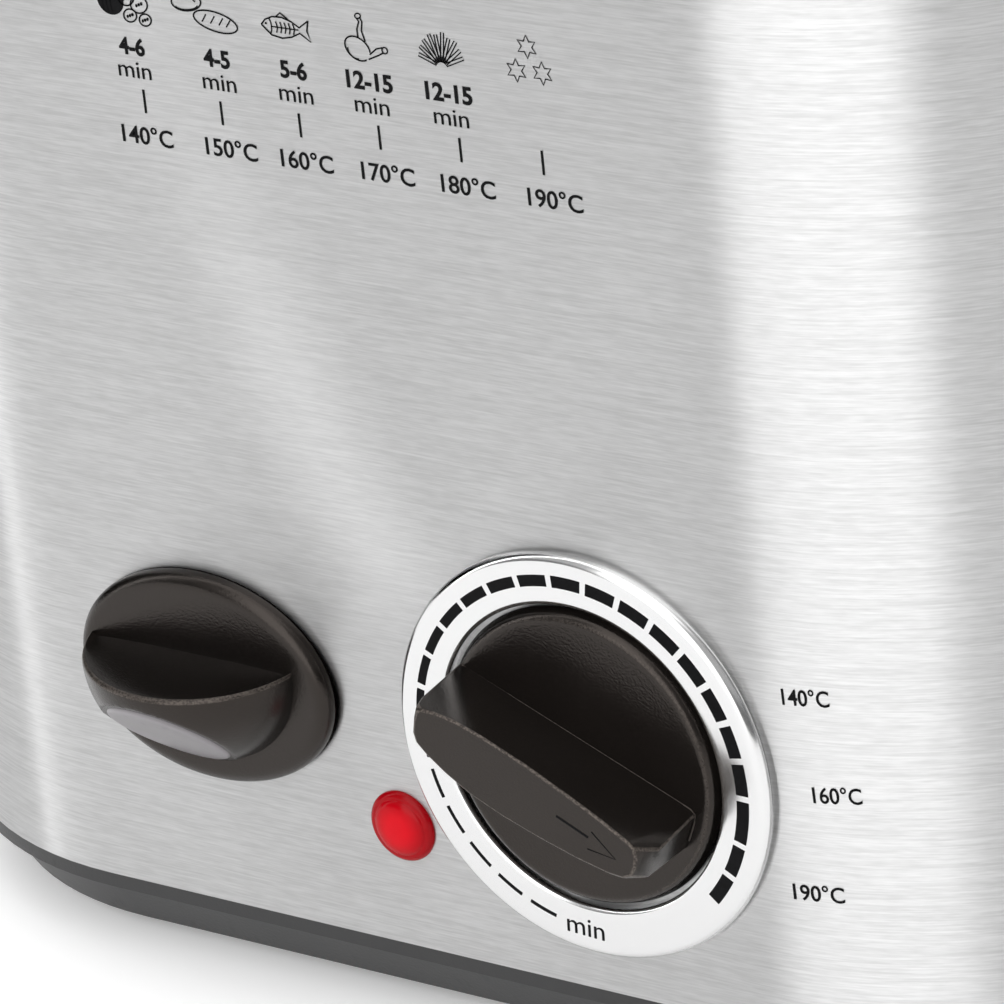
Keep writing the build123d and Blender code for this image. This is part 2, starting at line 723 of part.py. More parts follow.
x_spigot = valve_x - rotor_radius - valve_wall - 14.0
with BuildPart() as valve_body:
    rod_y(valve_x, z_valve, rotor_radius + valve_wall, y_valve_front, y_valve_back + 2.0)
    rod_z(valve_x, valve_y, pipe_radius + 3.0, z_valve, z_valve_top)
    rod_x(valve_y, z_valve, pipe_radius, x_spigot, valve_x)
    rod_z(valve_x, valve_y, pipe_bore, z_valve, z_valve_top + 1.0, Mode.SUBTRACT)
    z_socket = z_valve + rotor_radius + 5.0
    rod_z(valve_x, valve_y, pipe_radius + 0.05, z_socket, z_valve_top + 1.0, Mode.SUBTRACT)
    rod_x(valve_y, z_valve, pipe_bore, x_spigot - 1.0, valve_x, Mode.SUBTRACT)
    rod_y(valve_x, z_valve, rotor_radius + 0.06, y_valve_front - 1.0, y_valve_back + 0.1, Mode.SUBTRACT)
finish(valve_body, "valve_body")

with BuildPart() as valve_cap:
    rod_y(valve_x, z_valve, rotor_radius + valve_wall, y_valve_front - 5.0, y_valve_front)
    rod_y(valve_x, z_valve, stem_radius + 0.06, y_valve_front - 6.0, y_valve_front + 1.0, Mode.SUBTRACT)
    rod_y(valve_x, z_valve, stem_radius + 2.0, y_valve_front - 2.2, y_valve_front + 1.0, Mode.SUBTRACT)
finish(valve_cap, "valve_cap")

with BuildPart() as stem_seal:
    rod_y(valve_x, z_valve, stem_radius + 1.9, y_valve_front - 2.1, y_valve_front - 0.3)
    rod_y(valve_x, z_valve, stem_radius + 0.08, y_valve_front - 3.0, y_valve_front + 1.0, Mode.SUBTRACT)
finish(stem_seal, "stem_seal")

# The rotor's passage turns a corner: at rest it joins left and below, a quarter turn later left and above.
with BuildPart() as valve_rotor:
    rod_y(valve_x, z_valve, rotor_radius, y_valve_front + 0.1, y_valve_back)
    rod_z(valve_x, valve_y, pipe_bore, z_valve - rotor_radius - 1.0, z_valve, Mode.SUBTRACT)
    rod_x(valve_y, z_valve, pipe_bore, valve_x - rotor_radius - 1.0, valve_x, Mode.SUBTRACT)
    with BuildPart(mode=Mode.PRIVATE) as passage_corner:
        with Locations((valve_x, valve_y, z_valve)):
            Sphere(pipe_bore)
    add(passage_corner.part, mode=Mode.SUBTRACT)
finish(valve_rotor, "valve_rotor")

y_stem_end = front - 9.0
nose_radius = 2.2
with BuildPart() as valve_stem:
    rod_y(valve_x, z_valve, stem_radius, front + 0.5, y_valve_front + 0.1)
    rod_y(valve_x, z_valve, nose_radius, y_stem_end, front + 1.0)
finish(valve_stem, "valve_stem")

x_nozzle_in = -side + 20.0
with BuildPart() as drain_nozzle:
    rod_x(valve_y, z_valve, pipe_radius, -side - nozzle_reach, x_nozzle_in)
    rod_x(valve_y, z_valve, pipe_radius + 4.5, -side - 2.5, -side)
    rod_x(valve_y, z_valve, pipe_bore, -side - nozzle_reach - 1.0, x_nozzle_in + 1.0, Mode.SUBTRACT)
finish(drain_nozzle, "drain_nozzle")

hose_start = x_nozzle_in - 11.0
hose_end = x_spigot + 10.0
with BuildPart() as drain_hose:
    rod_x(valve_y, z_valve, pipe_radius + hose_wall, hose_start, hose_end)
    rod_x(valve_y, z_valve, pipe_radius + 0.02, hose_start - 1.0, hose_end + 1.0, Mode.SUBTRACT)
finish(drain_hose, "drain_hose")

with BuildPart() as hose_clips:
    for x in (hose_start + 2.0, hose_end - 7.0):
        rod_x(valve_y, z_valve, pipe_radius + hose_wall + 0.9, x, x + 5.0)
        rod_x(valve_y, z_valve, pipe_radius + hose_wall, x - 1.0, x + 6.0, Mode.SUBTRACT)
finish(hose_clips, "hose_clips")

# Drain knob: oval plate with a shell-like grip, the lower half of a dome under a level ridge.
y_plate_back = front - 0.4
grip_x = valve_x + drain_grip_x
grip_z = z_valve + drain_grip_up
dome_plane = Plane(origin=(grip_x, y_plate_back, grip_z), x_dir=(1, 0, 0), z_dir=(0, 0, 1))
facet_plane = Plane(
    origin=(grip_x, y_plate_back, grip_z),
    x_dir=(1, 0, 0),
    z_dir=(0, -cos(radians(pad_tilt)), -sin(radians(pad_tilt))),
)
with BuildPart() as drain_knob:
    with BuildSketch(front_plane(y_plate_back)) as plate_outline:
        with Locations((valve_x, z_valve)):
            Ellipse(drain_knob_width / 2, drain_knob_height / 2)
    extrude(plate_outline.sketch, amount=drain_knob_plate)
    fillet(drain_knob.faces().sort_by(Axis.Y)[0].edges(), 1.6)
    with BuildPart(mode=Mode.PRIVATE) as dome:
        with BuildSketch(dome_plane) as dome_profile:
            Ellipse(drain_grip_half, drain_grip_reach)
            with Locations((0, drain_grip_reach)):
                Rectangle(4 * drain_grip_half, 2 * drain_grip_reach, mode=Mode.SUBTRACT)
        revolve(dome_profile.sketch, axis=Axis((grip_x, y_plate_back, grip_z), (1, 0, 0)), revolution_arc=90)
        ridge = dome.edges().filter_by_position(Axis.Z, grip_z - 0.01, grip_z + 0.01)
        fillet(ridge.filter_by(GeomType.LINE, reverse=True), ridge_rounding)
        rod_x(
            y_plate_back - drain_grip_reach / 2,
            grip_z + scoop_radius - scoop_depth,
            scoop_radius,
            grip_x - drain_grip_half,
            grip_x + drain_grip_half,
            Mode.SUBTRACT,
        )
        with BuildSketch(facet_plane.offset(pad_distance - pad_thickness)) as facet_outline:
            Rectangle(60.0, 60.0)
        extrude(facet_outline.sketch, amount=30.0, mode=Mode.SUBTRACT)
    add(dome.part)
    rod_y(valve_x, z_valve, nose_radius + 0.02, y_stem_end - 0.5, front + 1.0, Mode.SUBTRACT)
finish(drain_knob, "drain_knob")

with BuildPart() as drain_knob_pad:
    with BuildSketch(dome_plane) as pad_profile:
        Ellipse(drain_grip_half, drain_grip_reach)
        with Locations((0, drain_grip_reach)):
            Rectangle(4 * drain_grip_half, 2 * drain_grip_reach, mode=Mode.SUBTRACT)
    revolve(pad_profile.sketch, axis=Axis((grip_x, y_plate_back, grip_z), (1, 0, 0)), revolution_arc=90)
    with BuildSketch(facet_plane.offset(pad_distance - pad_thickness)) as pad_slab:
        Rectangle(60.0, 60.0)
    extrude(pad_slab.sketch, amount=pad_thickness, mode=Mode.INTERSECT)
    plate_span = (y_plate_back - drain_knob_plate, y_plate_back + 1.0)
    block((grip_x - 30.0, grip_x + 30.0), plate_span, (grip_z - 30.0, grip_z + 30.0), Mode.SUBTRACT)
finish(drain_knob_pad, "drain_knob_pad")

# Cord gland in the back wall, and the terminal block on the floor behind it.
z_cord = z_shell + cord_up
with BuildPart() as cord_gland:
    rod_y(cord_x, z_cord, cord_bore + 3.8, back - 8.0, back + 1.0)
    rod_y(cord_x, z_cord, cord_bore + 6.5, back, back + 4.0)
    fillet(cord_gland.faces().sort_by(Axis.Y)[-1].edges(), 1.2)
    rod_y(cord_x, z_cord, cord_bore, back - 9.0, back + 5.0, Mode.SUBTRACT)
finish(cord_gland, "cord_gland")

with BuildPart() as terminal_block:
    block((cord_x - 15.0, cord_x + 15.0), (back - 44.0, back - 28.0), (z_floor, z_floor + 14.0))
    for step in (-1, 0, 1):
        rod_z(cord_x + step * 9.5, back - 36.0, 2.6, z_floor + 8.0, z_floor + 15.0, Mode.SUBTRACT)
finish(terminal_block, "terminal_block")

# Lid
with BuildPart() as lid_shell:
    rounded_block(collar_width, collar_depth, collar_corner, z_lid, z_lid_top)
    fillet(lid_shell.faces().sort_by(Axis.Z)[-1].edges(), lid_edge_fillet)
    with BuildPart(mode=Mode.PRIVATE) as lid_hollow:
        lid_inside = (lid_inner_width, lid_inner_depth, lid_inner_corner)
        rounded_block(*lid_inside, z_lid - 1.0, z_lid_top - plastic_wall)
        fillet(lid_hollow.faces().sort_by(Axis.Z)[-1].edges(), lid_edge_fillet - plastic_wall)
    add(lid_hollow.part, mode=Mode.SUBTRACT)
    for x, y in lid_screw_places:
        rod_z(x, y, 4.0, z_liner + liner_sheet, z_lid_top - plastic_wall - 0.2)
        rod_z(x, y, 1.6, z_liner, z_liner + 14.0, Mode.SUBTRACT)
    lid_cut = (z_lid_top - 8.0, z_lid_top + 1.0, Mode.SUBTRACT)
    rounded_block(window_length, window_depth, 12.0, *lid_cut, (0, window_y))
    rounded_block(filter_length, filter_depth, 6.0, *lid_cut, (0, filter_y))
    lip_seat = (z_lid_top - 1.4, z_lid_top + 1.0, Mode.SUBTRACT)
    rounded_block(filter_length + 6.0, filter_depth + 6.0, 9.0, *lip_seat, (0, filter_y))
    for sign in (-1, 1):
        arm_low = min(sign * arm_spread, sign * (arm_spread + arm_width))
        rod_x(y_hinge, z_hinge, 5.0, arm_low, arm_low + arm_width)
        arm_x = (arm_low, arm_low + arm_width)
        block(arm_x, (back + collar_overhang - 1.0, y_hinge), (z_hinge - 5.0, z_hinge + 5.0))
        arm_bore = hinge_pin_radius + hinge_play
        rod_x(y_hinge, z_hinge, arm_bore, arm_low - 1.0, arm_low + arm_width + 1.0, Mode.SUBTRACT)
    y_cover_hinge = filter_y + filter_depth / 2 + 9.0
    z_cover_hinge = z_lid_top + 2.6
    cover_half = filter_length / 2 + 3.5
    for sign in (-1, 1):
        ear_low = min(sign * (cover_half + 0.5), sign * (cover_half + 4.5))
        rod_x(y_cover_hinge, z_cover_hinge, 2.6, ear_low, ear_low + 4.0)
        ear_y = (y_cover_hinge - 2.6, y_cover_hinge + 2.6)
        block((ear_low, ear_low + 4.0), ear_y, (z_lid_top - 1.0, z_cover_hinge))
        ear_bore = cover_pin_radius + spindle_play
        rod_x(y_cover_hinge, z_cover_hinge, ear_bore, ear_low - 1.0, ear_low + 5.0, Mode.SUBTRACT)
finish(lid_shell, "lid_shell")

z_pan_top = z_lid_top - plastic_wall - liner_top_gap
with BuildPart() as lid_liner:
    rounded_block(pan_width + 2.0, pan_depth + 2.0, pan_corner + 1.0, z_liner, z_pan_top)
    fillet(lid_liner.faces().sort_by(Axis.Z)[-1].edges(), 15.0)
    rounded_block(
        lid_inner_width - 1.6,
        lid_inner_depth - 1.6,
        lid_inner_corner - 0.8,
        z_liner,
        z_liner + liner_sheet,
    )
    with BuildPart(mode=Mode.PRIVATE) as pan_hollow:
        rounded_block(pan_width, pan_depth, pan_corner, z_liner - 1.0, z_pan_top - liner_sheet)
        fillet(pan_hollow.faces().sort_by(Axis.Z)[-1].edges(), 15.0 - liner_sheet)
    add(pan_hollow.part, mode=Mode.SUBTRACT)
    window_hole = (window_length + 0.4, window_depth + 0.4, 12.2, z_pan_top - 4.0, z_pan_top + 1.0)
    rounded_block(*window_hole, Mode.SUBTRACT, (0, window_y))
    filter_hole = (filter_length + 0.4, filter_depth + 0.4, 6.2, z_pan_top - 4.0, z_pan_top + 1.0)
    rounded_block(*filter_hole, Mode.SUBTRACT, (0, filter_y))
    for x, y in lid_screw_places:
        rod_z(x, y, 1.7, z_liner - 1.0, z_liner + 2.0, Mode.SUBTRACT)
finish(lid_liner, "lid_liner")

with BuildPart() as lid_screws:
    for x, y in lid_screw_places:
        rod_z(x, y, 3.2, z_liner - 1.8, z_liner)
        rod_z(x, y, 1.5, z_liner, z_liner + 12.0)
finish(lid_screws, "lid_screws")

z_gasket = z_flange + 0.3
with BuildPart() as lid_gasket:
    rounded_block(
        bowl_width + 2 * flange_width - 2.0,
        bowl_depth + 2 * flange_width - 2.0,
        bowl_corner + flange_width - 1.0,
        z_gasket,
        z_liner,
    )
    rounded_block(pan_width, pan_depth, pan_corner, z_gasket - 1.0, z_liner + 1.0, Mode.SUBTRACT)
finish(lid_gasket, "lid_gasket")

z_glass = z_lid_top - 3.2
with BuildPart() as window_frame:
    window_body = (window_length - 0.4, window_depth - 0.4, 11.8, z_pan_top - 2.0, z_lid_top)
    rounded_block(*window_body, centre=(0, window_y))
    rounded_block(
        window_length + 7.0, window_depth + 7.0, 15.0, z_lid_top, z_lid_top + 1.6, centre=(0, window_y)
    )
    fillet(window_frame.faces().sort_by(Axis.Z)[-1].edges(), 1.0)
    sight = (window_length - 12.0, window_depth - 12.0, 7.0, z_pan_top - 3.0, z_lid_top + 2.0)
    rounded_block(*sight, Mode.SUBTRACT, (0, window_y))
    pocket = (window_length - 5.0, window_depth - 5.0, 9.5, z_pan_top - 3.0, z_glass + 3.2)
    rounded_block(*pocket, Mode.SUBTRACT, (0, window_y))
finish(window_frame, "window_frame")

with BuildPart() as window_glass:
    rounded_block(window_length - 5.4, window_depth - 5.4, 9.3, z_glass, z_glass + 3.1, centre=(0, window_y))
finish(window_glass, "window_glass")

with BuildPart() as window_seal:
    seal_body = (window_length - 5.4, window_depth - 5.4, 9.3, z_pan_top - 1.8, z_glass)
    rounded_block(*seal_body, centre=(0, window_y))
    seal_sight = (window_length - 12.0, window_depth - 12.0, 7.0, z_pan_top - 3.0, z_glass + 1.0)
    rounded_block(*seal_sight, Mode.SUBTRACT, (0, window_y))
finish(window_seal, "window_seal")

# Filter cassette in the back half of the lid, its mat, and the slotted cover over it.
z_tray = z_lid_top - 11.6
with BuildPart() as filter_tray:
    tray_body = (filter_length - 0.6, filter_depth - 0.6, 5.7, z_tray, z_lid_top - 0.2)
    rounded_block(*tray_body, centre=(0, filter_y))
    tray_lip = (filter_length + 5.2, filter_depth + 5.2, 8.6, z_lid_top - 1.4, z_lid_top - 0.2)
    rounded_block(*tray_lip, centre=(0, filter_y))
    tray_hollow = (filter_length - 3.8, filter_depth - 3.8, 4.2, z_tray + 1.6, z_lid_top)
    rounded_block(*tray_hollow, Mode.SUBTRACT, (0, filter_y))
    with BuildSketch(Plane.XY.offset(z_tray - 1.0)) as tray_slots:
        with Locations((0, filter_y)):
            with GridLocations(8.0, 0.0, 13, 1):
                SlotOverall(filter_depth - 12.0, 3.0, rotation=90)
    extrude(tray_slots.sketch, amount=4.0, mode=Mode.SUBTRACT)
finish(filter_tray, "filter_tray")

with BuildPart() as filter_mat:
    mat = (filter_length - 4.6, filter_depth - 4.6, 4.0, z_tray + 1.7, z_tray + 7.7)
    rounded_block(*mat, centre=(0, filter_y))
finish(filter_mat, "filter_mat")

cover_low = z_lid_top + 0.3
with BuildPart() as filter_cover:
    cover_plate = (filter_length + 7.0, filter_depth + 9.0, 8.0, cover_low, cover_low + 2.0)
    rounded_block(*cover_plate, centre=(0, filter_y))
    fillet(filter_cover.faces().sort_by(Axis.Z)[-1].edges(), 0.8)
    rod_x(y_cover_hinge, z_cover_hinge, 2.2, -cover_half, cover_half)
    cover_strap = (filter_y + filter_depth / 2, y_cover_hinge)
    block((-cover_half, cover_half), cover_strap, (cover_low + 0.2, cover_low + 2.0))
    rod_x(y_cover_hinge, z_cover_hinge, cover_pin_radius, -cover_half - 4.2, cover_half + 4.2)
    with BuildSketch(Plane.XY.offset(cover_low - 1.0)) as cover_slots:
        with Locations((0, filter_y)):
            with GridLocations(0.0, 7.5, 1, 6):
                SlotOverall(filter_length - 20.0, 3.0)
    extrude(cover_slots.sketch, amount=4.0, mode=Mode.SUBTRACT)
finish(filter_cover, "filter_cover")

# Latch blade under the front of the lid; it stands between the button's arms.
with BuildPart() as lid_latch:
    blade_x = (latch_x - latch_half, latch_x + latch_half)
    block(blade_x, (latch_y, latch_y + latch_thickness), (button_z - 4.0, z_liner))
finish(lid_latch, "lid_latch")

# Latch button in the collar's front wall, with a catch bar behind the blade, and its return spring.
y_button_front = y_collar_front - button_reach
with BuildPart() as latch_button:
    with BuildSketch(front_plane(y_flange_plate + 0.1)) as button_outline:
        with Locations((0, button_z)):
            RectangleRounded(button_width, button_height, 2.0)
    extrude(button_outline.sketch, amount=y_flange_plate + 0.1 - y_button_front)
    fillet(latch_button.faces().sort_by(Axis.Y)[0].edges(), 1.0)
    stop_x = button_width / 2 + 2.0
    block((-stop_x, stop_x), (y_flange_plate + 0.1, y_flange_plate + 1.6), (button_z - 5.0, button_z + 1.0))
    for x in (latch_x - latch_half - 2.2, latch_x + latch_half + 0.7):
        bar_end = latch_y + latch_thickness + latch_gap + 2.0
        block((x, x + 1.5), (y_flange_plate + 1.0, bar_end), (button_z - 3.5, button_z + 0.5))
    catch_x = (latch_x - latch_half - 2.2, latch_x + latch_half + 2.2)
    catch_y = (latch_y + latch_thickness + latch_gap, latch_y + latch_thickness + latch_gap + 2.0)
    block(catch_x, catch_y, (button_z - 3.5, button_z + 0.5))
    rod_y(spring_x, button_z, button_stem, y_flange_plate + 1.0, y_spring_seat + 1.5)
finish(latch_button, "latch_button")

spring_turns = 5
spring_start = y_flange_plate + 1.6 + spring_wire
spring_length = y_spring_seat - spring_start - spring_wire
with BuildPart() as button_spring:
    spring_coil = Helix(
        pitch=spring_length / spring_turns,
        height=spring_length,
        radius=button_stem + 1.1,
        center=(spring_x, spring_start, button_z),
        direction=(0, 1, 0),
    )
    with BuildSketch(Plane(origin=spring_coil @ 0, z_dir=spring_coil % 0)) as spring_section:
        Circle(spring_wire)
    sweep(spring_section.sketch, path=spring_coil, is_frenet=True)
finish(button_spring, "button_spring")

# Basket: wire frame, fine mesh, front bracket, and the handle that folds into it.
basket_foot_width = basket_width - 2 * basket_taper
basket_foot_depth = basket_depth - 2 * basket_taper
basket_foot_corner = basket_corner - basket_taper
with BuildPart() as basket_frame:
    for width, depth, radius, level in (
        (basket_width, basket_depth, basket_corner, z_basket_rim),
        (basket_foot_width + 4.0, basket_foot_depth + 4.0, basket_foot_corner + 2.0, z_basket + 14.0),
    ):
        with BuildSketch(Plane.XY.offset(level)) as hoop_path:
            RectangleRounded(width, depth, radius)
        hoop_wire = hoop_path.sketch.faces()[0].outer_wire()
        with BuildSketch(Plane(origin=hoop_wire @ 0, z_dir=hoop_wire % 0)) as hoop_section:
            Circle(basket_wire)
        sweep(hoop_section.sketch, path=hoop_wire)
finish(basket_frame, "basket_frame")

mesh_inset = basket_wire + 0.3
with BuildPart() as basket_mesh:
    with BuildSketch(Plane.XY.offset(z_basket)) as mesh_foot:
        RectangleRounded(
            basket_foot_width - 2 * mesh_inset,
            basket_foot_depth - 2 * mesh_inset,
            basket_foot_corner - mesh_inset,
        )
    with BuildSketch(Plane.XY.offset(z_basket_rim + 1.0)) as mesh_head:
        RectangleRounded(
            basket_width - 2 * mesh_inset,
            basket_depth - 2 * mesh_inset,
            basket_corner - mesh_inset,
        )
    loft([mesh_foot.sketch, mesh_head.sketch])
    with BuildPart(mode=Mode.PRIVATE) as mesh_hollow:
        grow = mesh_inset + mesh_sheet
        with BuildSketch(Plane.XY.offset(z_basket + mesh_sheet)) as hollow_foot:
            RectangleRounded(
                basket_foot_width - 2 * grow, basket_foot_depth - 2 * grow, basket_foot_corner - grow
            )
        with BuildSketch(Plane.XY.offset(z_basket_rim + 1.0 + mesh_sheet)) as hollow_head:
            RectangleRounded(basket_width - 2 * grow, basket_depth - 2 * grow, basket_corner - grow)
        loft([hollow_foot.sketch, hollow_head.sketch])
    add(mesh_hollow.part, mode=Mode.SUBTRACT)
finish(basket_mesh, "basket_mesh")

y_pivot = -basket_depth / 2 + 5.0
z_pivot = z_basket_rim + 6.0
y_bracket_plate = -basket_depth / 2 - basket_wire - 0.4
ear_inner = 16.0
ear_sheet = 1.6
handle_wire = 2.0
with BuildPart() as basket_bracket:
    bracket_half = ear_inner + ear_sheet
    bracket_low = z_basket_rim - 56.0
    plate_y = (y_bracket_plate - ear_sheet, y_bracket_plate)
    block((-bracket_half, bracket_half), plate_y, (bracket_low, z_pivot - 3.0))
    for x in (-bracket_half, ear_inner - 0.5):
        block((x, x + ear_sheet + 0.5), plate_y, (z_pivot - 4.0, z_pivot + 5.0))
    for x in (-bracket_half, ear_inner):
        ear_z = (z_basket_rim + basket_wire + 0.4, z_pivot + 5.0)
        block((x, x + ear_sheet), (y_bracket_plate, y_pivot + 5.0), ear_z)
    pivot_bore = handle_wire + spindle_play
    rod_x(y_pivot, z_pivot, pivot_bore, -bracket_half - 1.0, bracket_half + 1.0, Mode.SUBTRACT)
finish(basket_bracket, "basket_bracket")

wire_spread = 11.0
grip_start = y_pivot + 42.0
handle_grip_length = 70.0
with BuildPart() as handle_wires:
    for sign in (-1, 1):
        with BuildLine(Plane.XY.offset(z_pivot)) as wire_path:
            FilletPolyline(
                (sign * (ear_inner + ear_sheet + 1.6), y_pivot),
                (sign * wire_spread, y_pivot),
                (sign * wire_spread, grip_start + 26.0),
                radius=4.0,
            )
        with BuildSketch(Plane(origin=wire_path.line @ 0, z_dir=wire_path.line % 0)) as wire_section:
            Circle(handle_wire)
        sweep(wire_section.sketch, path=wire_path.line)
finish(handle_wires, "handle_wires")

with BuildPart() as handle_grip:
    with BuildSketch(Plane.XY.offset(z_pivot - 7.0)) as grip_outline:
        with Locations((0, grip_start + handle_grip_length / 2)):
            RectangleRounded(30.0, handle_grip_length, 8.0)
    extrude(grip_outline.sketch, amount=14.0)
    fillet(handle_grip.faces().filter_by(Axis.Z).edges(), 4.0)
    for sign in (-1, 1):
        wire_bore = handle_wire + 0.02
        rod_y(sign * wire_spread, z_pivot, wire_bore, grip_start - 1.0, grip_start + 26.5, Mode.SUBTRACT)
finish(handle_grip, "handle_grip")
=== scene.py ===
import json
import math

import bmesh
import bpy
import numpy as np
from mathutils import Euler, Matrix


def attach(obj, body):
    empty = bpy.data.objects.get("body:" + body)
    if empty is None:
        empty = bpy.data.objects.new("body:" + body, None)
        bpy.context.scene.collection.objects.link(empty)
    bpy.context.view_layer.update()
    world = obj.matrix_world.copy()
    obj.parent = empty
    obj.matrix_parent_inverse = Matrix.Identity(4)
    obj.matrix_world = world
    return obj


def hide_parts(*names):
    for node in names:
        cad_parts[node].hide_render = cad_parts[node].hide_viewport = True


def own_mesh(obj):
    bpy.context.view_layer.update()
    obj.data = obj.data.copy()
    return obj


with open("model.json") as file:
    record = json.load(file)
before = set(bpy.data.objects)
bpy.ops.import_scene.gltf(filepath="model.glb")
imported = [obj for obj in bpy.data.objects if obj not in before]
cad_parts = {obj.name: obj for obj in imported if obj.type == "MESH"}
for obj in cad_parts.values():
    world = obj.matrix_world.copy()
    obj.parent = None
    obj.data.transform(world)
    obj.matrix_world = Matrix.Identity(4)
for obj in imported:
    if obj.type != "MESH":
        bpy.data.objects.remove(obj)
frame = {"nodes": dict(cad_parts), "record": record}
mm = 0.001
nodes = frame["nodes"]
slotOf = {part["node"]: part["material_slot"] for part in frame["record"]["subparts"]}
bodyOf = {
    node: body
    for body, members in frame["record"]["behaviour"]["bodies"].items()
    for node in members
}


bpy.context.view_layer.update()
print("frame loaded with", len(nodes), "nodes")


class Wire:
    # one shader value; sums and products of wires add Math nodes to the tree
    def __init__(self, tree, socket=None):
        self.tree = tree
        self.socket = socket

    def node(self, kind, settings=None, values=None, out=0):
        made = self.tree.nodes.new(kind)
        for key, value in (settings or {}).items():
            setattr(made, key, value)
        for key, value in (values or {}).items():
            if isinstance(value, Wire):
                self.tree.links.new(value.socket, made.inputs[key])
            else:
                made.inputs[key].default_value = value
        return Wire(self.tree, made.outputs[out])

    def maths(self, operation, first, second=0.0):
        return self.node("ShaderNodeMath", {"operation": operation}, {0: first, 1: second})

    def __add__(self, other):
        return self.maths("ADD", self, other)

    __radd__ = __add__

    def __sub__(self, other):
        return self.maths("SUBTRACT", self, other)

    def __rsub__(self, other):
        return self.maths("SUBTRACT", other, self)

    def __mul__(self, other):
        return self.maths("MULTIPLY", self, other)

    __rmul__ = __mul__

    def __abs__(self):
        return self.maths("ABSOLUTE", self)

    def rise(self, low, high):
        # 0 below low, 1 above high, and a smooth S between them
        return self.node(
            "ShaderNodeMapRange",
            {"interpolation_type": "SMOOTHSTEP"},
            {"Value": self, "From Min": low, "From Max": high},
        )


def clouds(place, scale, detail=3.0, stretch=(1, 1, 1)):
    # smooth noise from 0 to 1, drawn out along the axes whose stretch is small
    mapped = place.node("ShaderNodeMapping", {}, {"Vector": place, "Scale": stretch})
    return place.node(
        "ShaderNodeTexNoise", {}, {"Vector": mapped, "Scale": scale, "Detail": detail}
    )


def blendTones(mask, low, high):
    # the low colour where the mask is 0, the high one where it is 1
    return mask.node(
        "ShaderNodeMix", {"data_type": "RGBA"}, {0: mask, 6: (*low, 1), 7: (*high, 1)}, 2
    )


def reliefOf(height, depth):
    # bump whose full height is the depth in metres
    return height.node("ShaderNodeBump", {}, {"Height": height, "Distance": depth, "Strength": 1.0})


def makeMaterial(name, recipe):
    # the recipe gives the shader's sockets, each a number, a colour or a wire
    material = bpy.data.materials.new(name)
    material.use_nodes = True
    tree = material.node_tree
    shader = tree.nodes["Principled BSDF"]
    place = Wire(tree).node("ShaderNodeTexCoord", out="Object")
    for key, value in recipe(place).items():
        if isinstance(value, Wire):
            tree.links.new(value.socket, shader.inputs[key])
        else:
            shader.inputs[key].default_value = value
    return material


def scaled(tone, factor):
    # each channel of a colour times the factor
    return tuple(channel * factor for channel in tone)


def moulded(tone, rough, grain=0.00003, grainSize=1800, sheen=0.5, coat=0.0):
    # moulded plastic or rubber: faint clouds in tone and gloss over a fine spark grain
    def recipe(place):
        broad = clouds(place, 38, 4)
        fine = clouds(place, grainSize, 2)
        scuff = clouds(place, 420, 5, (1, 1, 0.25)).rise(0.58, 0.75)
        return {
            "Base Color": blendTones(broad * 0.7 + fine * 0.3, scaled(tone, 0.82), scaled(tone, 1.2)),
            "Roughness": rough - 0.05 + 0.1 * broad + 0.06 * scuff,
            "Specular IOR Level": sheen,
            "Coat Weight": coat,
            "Normal": reliefOf(fine, grain),
        }
    return recipe


def drawnMetal(tone, rough, stretch=(1, 1, 1), streaks=600, depth=0.000004, contrast=0.1):
    # metal with the fine marks of drawing, turning or plating
    def recipe(place):
        lines = clouds(place, streaks, 3, stretch)
        stain = clouds(place, 30, 4)
        return {
            "Base Color": blendTones(stain, scaled(tone, 1 - contrast), scaled(tone, 1.0)),
            "Metallic": 1.0,
            "Roughness": rough - 0.04 + 0.08 * stain + 0.04 * lines,
            "Normal": reliefOf(lines, depth),
        }
    return recipe


steelSettings = {
    "tone": (0.525, 0.525, 0.525),
    "roughness": 0.34,
    "brushSpread": 1.0,
    "hairlineDepth": 0.0000008,
    "hairlineShade": 0.035,
    # where the slanting painted highlight on the front wall runs, how wide it is and how much it lightens
    # the steel
    "highlightFrom": (-22.0, 135.0),
    "highlightTo": (-3.5, 86.0),
    "highlightWidth": 19.0,
    "highlightGain": 0.26,
}


def brushedSteel(place):
    # long level hairlines in three widths, each a noise drawn out along the wall
    hair = clouds(place, 3600, 3, (0.018, 0.018, 1))
    band = clouds(place, 1300, 3, (0.022, 0.022, 1))
    veil = clouds(place, 9, 2, (1, 1, 0.6))
    pits = clouds(place, 2600, 2, (0.1, 0.1, 1))
    grain = 0.4 * hair + 0.25 * band + 0.35 * pits
    # a slanting painted highlight on the front wall, standing in for a reflection, soft to both sides and
    # stronger towards its foot
    parts = place.node("ShaderNodeSeparateXYZ", {}, {"Vector": place}).socket.node
    x, y, z = (Wire(place.tree, parts.outputs[axis]) for axis in "XYZ")
    (x0, z0), (x1, z1) = steelSettings["highlightFrom"], steelSettings["highlightTo"]
    line = x - x1 * mm - (z - z1 * mm) * ((x1 - x0) / (z1 - z0))
    width = steelSettings["highlightWidth"] * mm
    across = 1 - abs(line).rise(0.0, width)
    fade = 1 - z.rise(z1 * mm, (z0 + 25) * mm) * 0.8
    frontOnly = (0 - y).rise(0.1, 0.13)
    frontHighlight = across * fade * z.rise(0.066, 0.09) * frontOnly
    tone = steelSettings["tone"]
    shade = steelSettings["hairlineShade"]
    # the hairline grain and the painted highlight together lighten the colour
    lightened = grain.rise(0.3, 0.7) * 0.5 + frontHighlight * 0.5
    gain = 1 + steelSettings["highlightGain"]
    dull = scaled(tone, 1 - shade)
    bright = scaled(tone, 1 - shade + 2 * shade * gain + 2 * (gain - 1))
    return {
        "Base Color": blendTones(lightened, dull, bright),
        "Metallic": 1.0,
        "Roughness": steelSettings["roughness"] - 0.05 + 0.05 * veil + 0.05 * grain,
        "Anisotropic": steelSettings["brushSpread"],
        "Anisotropic Rotation": 0.25,
        "Normal": reliefOf(grain, steelSettings["hairlineDepth"]),
    }


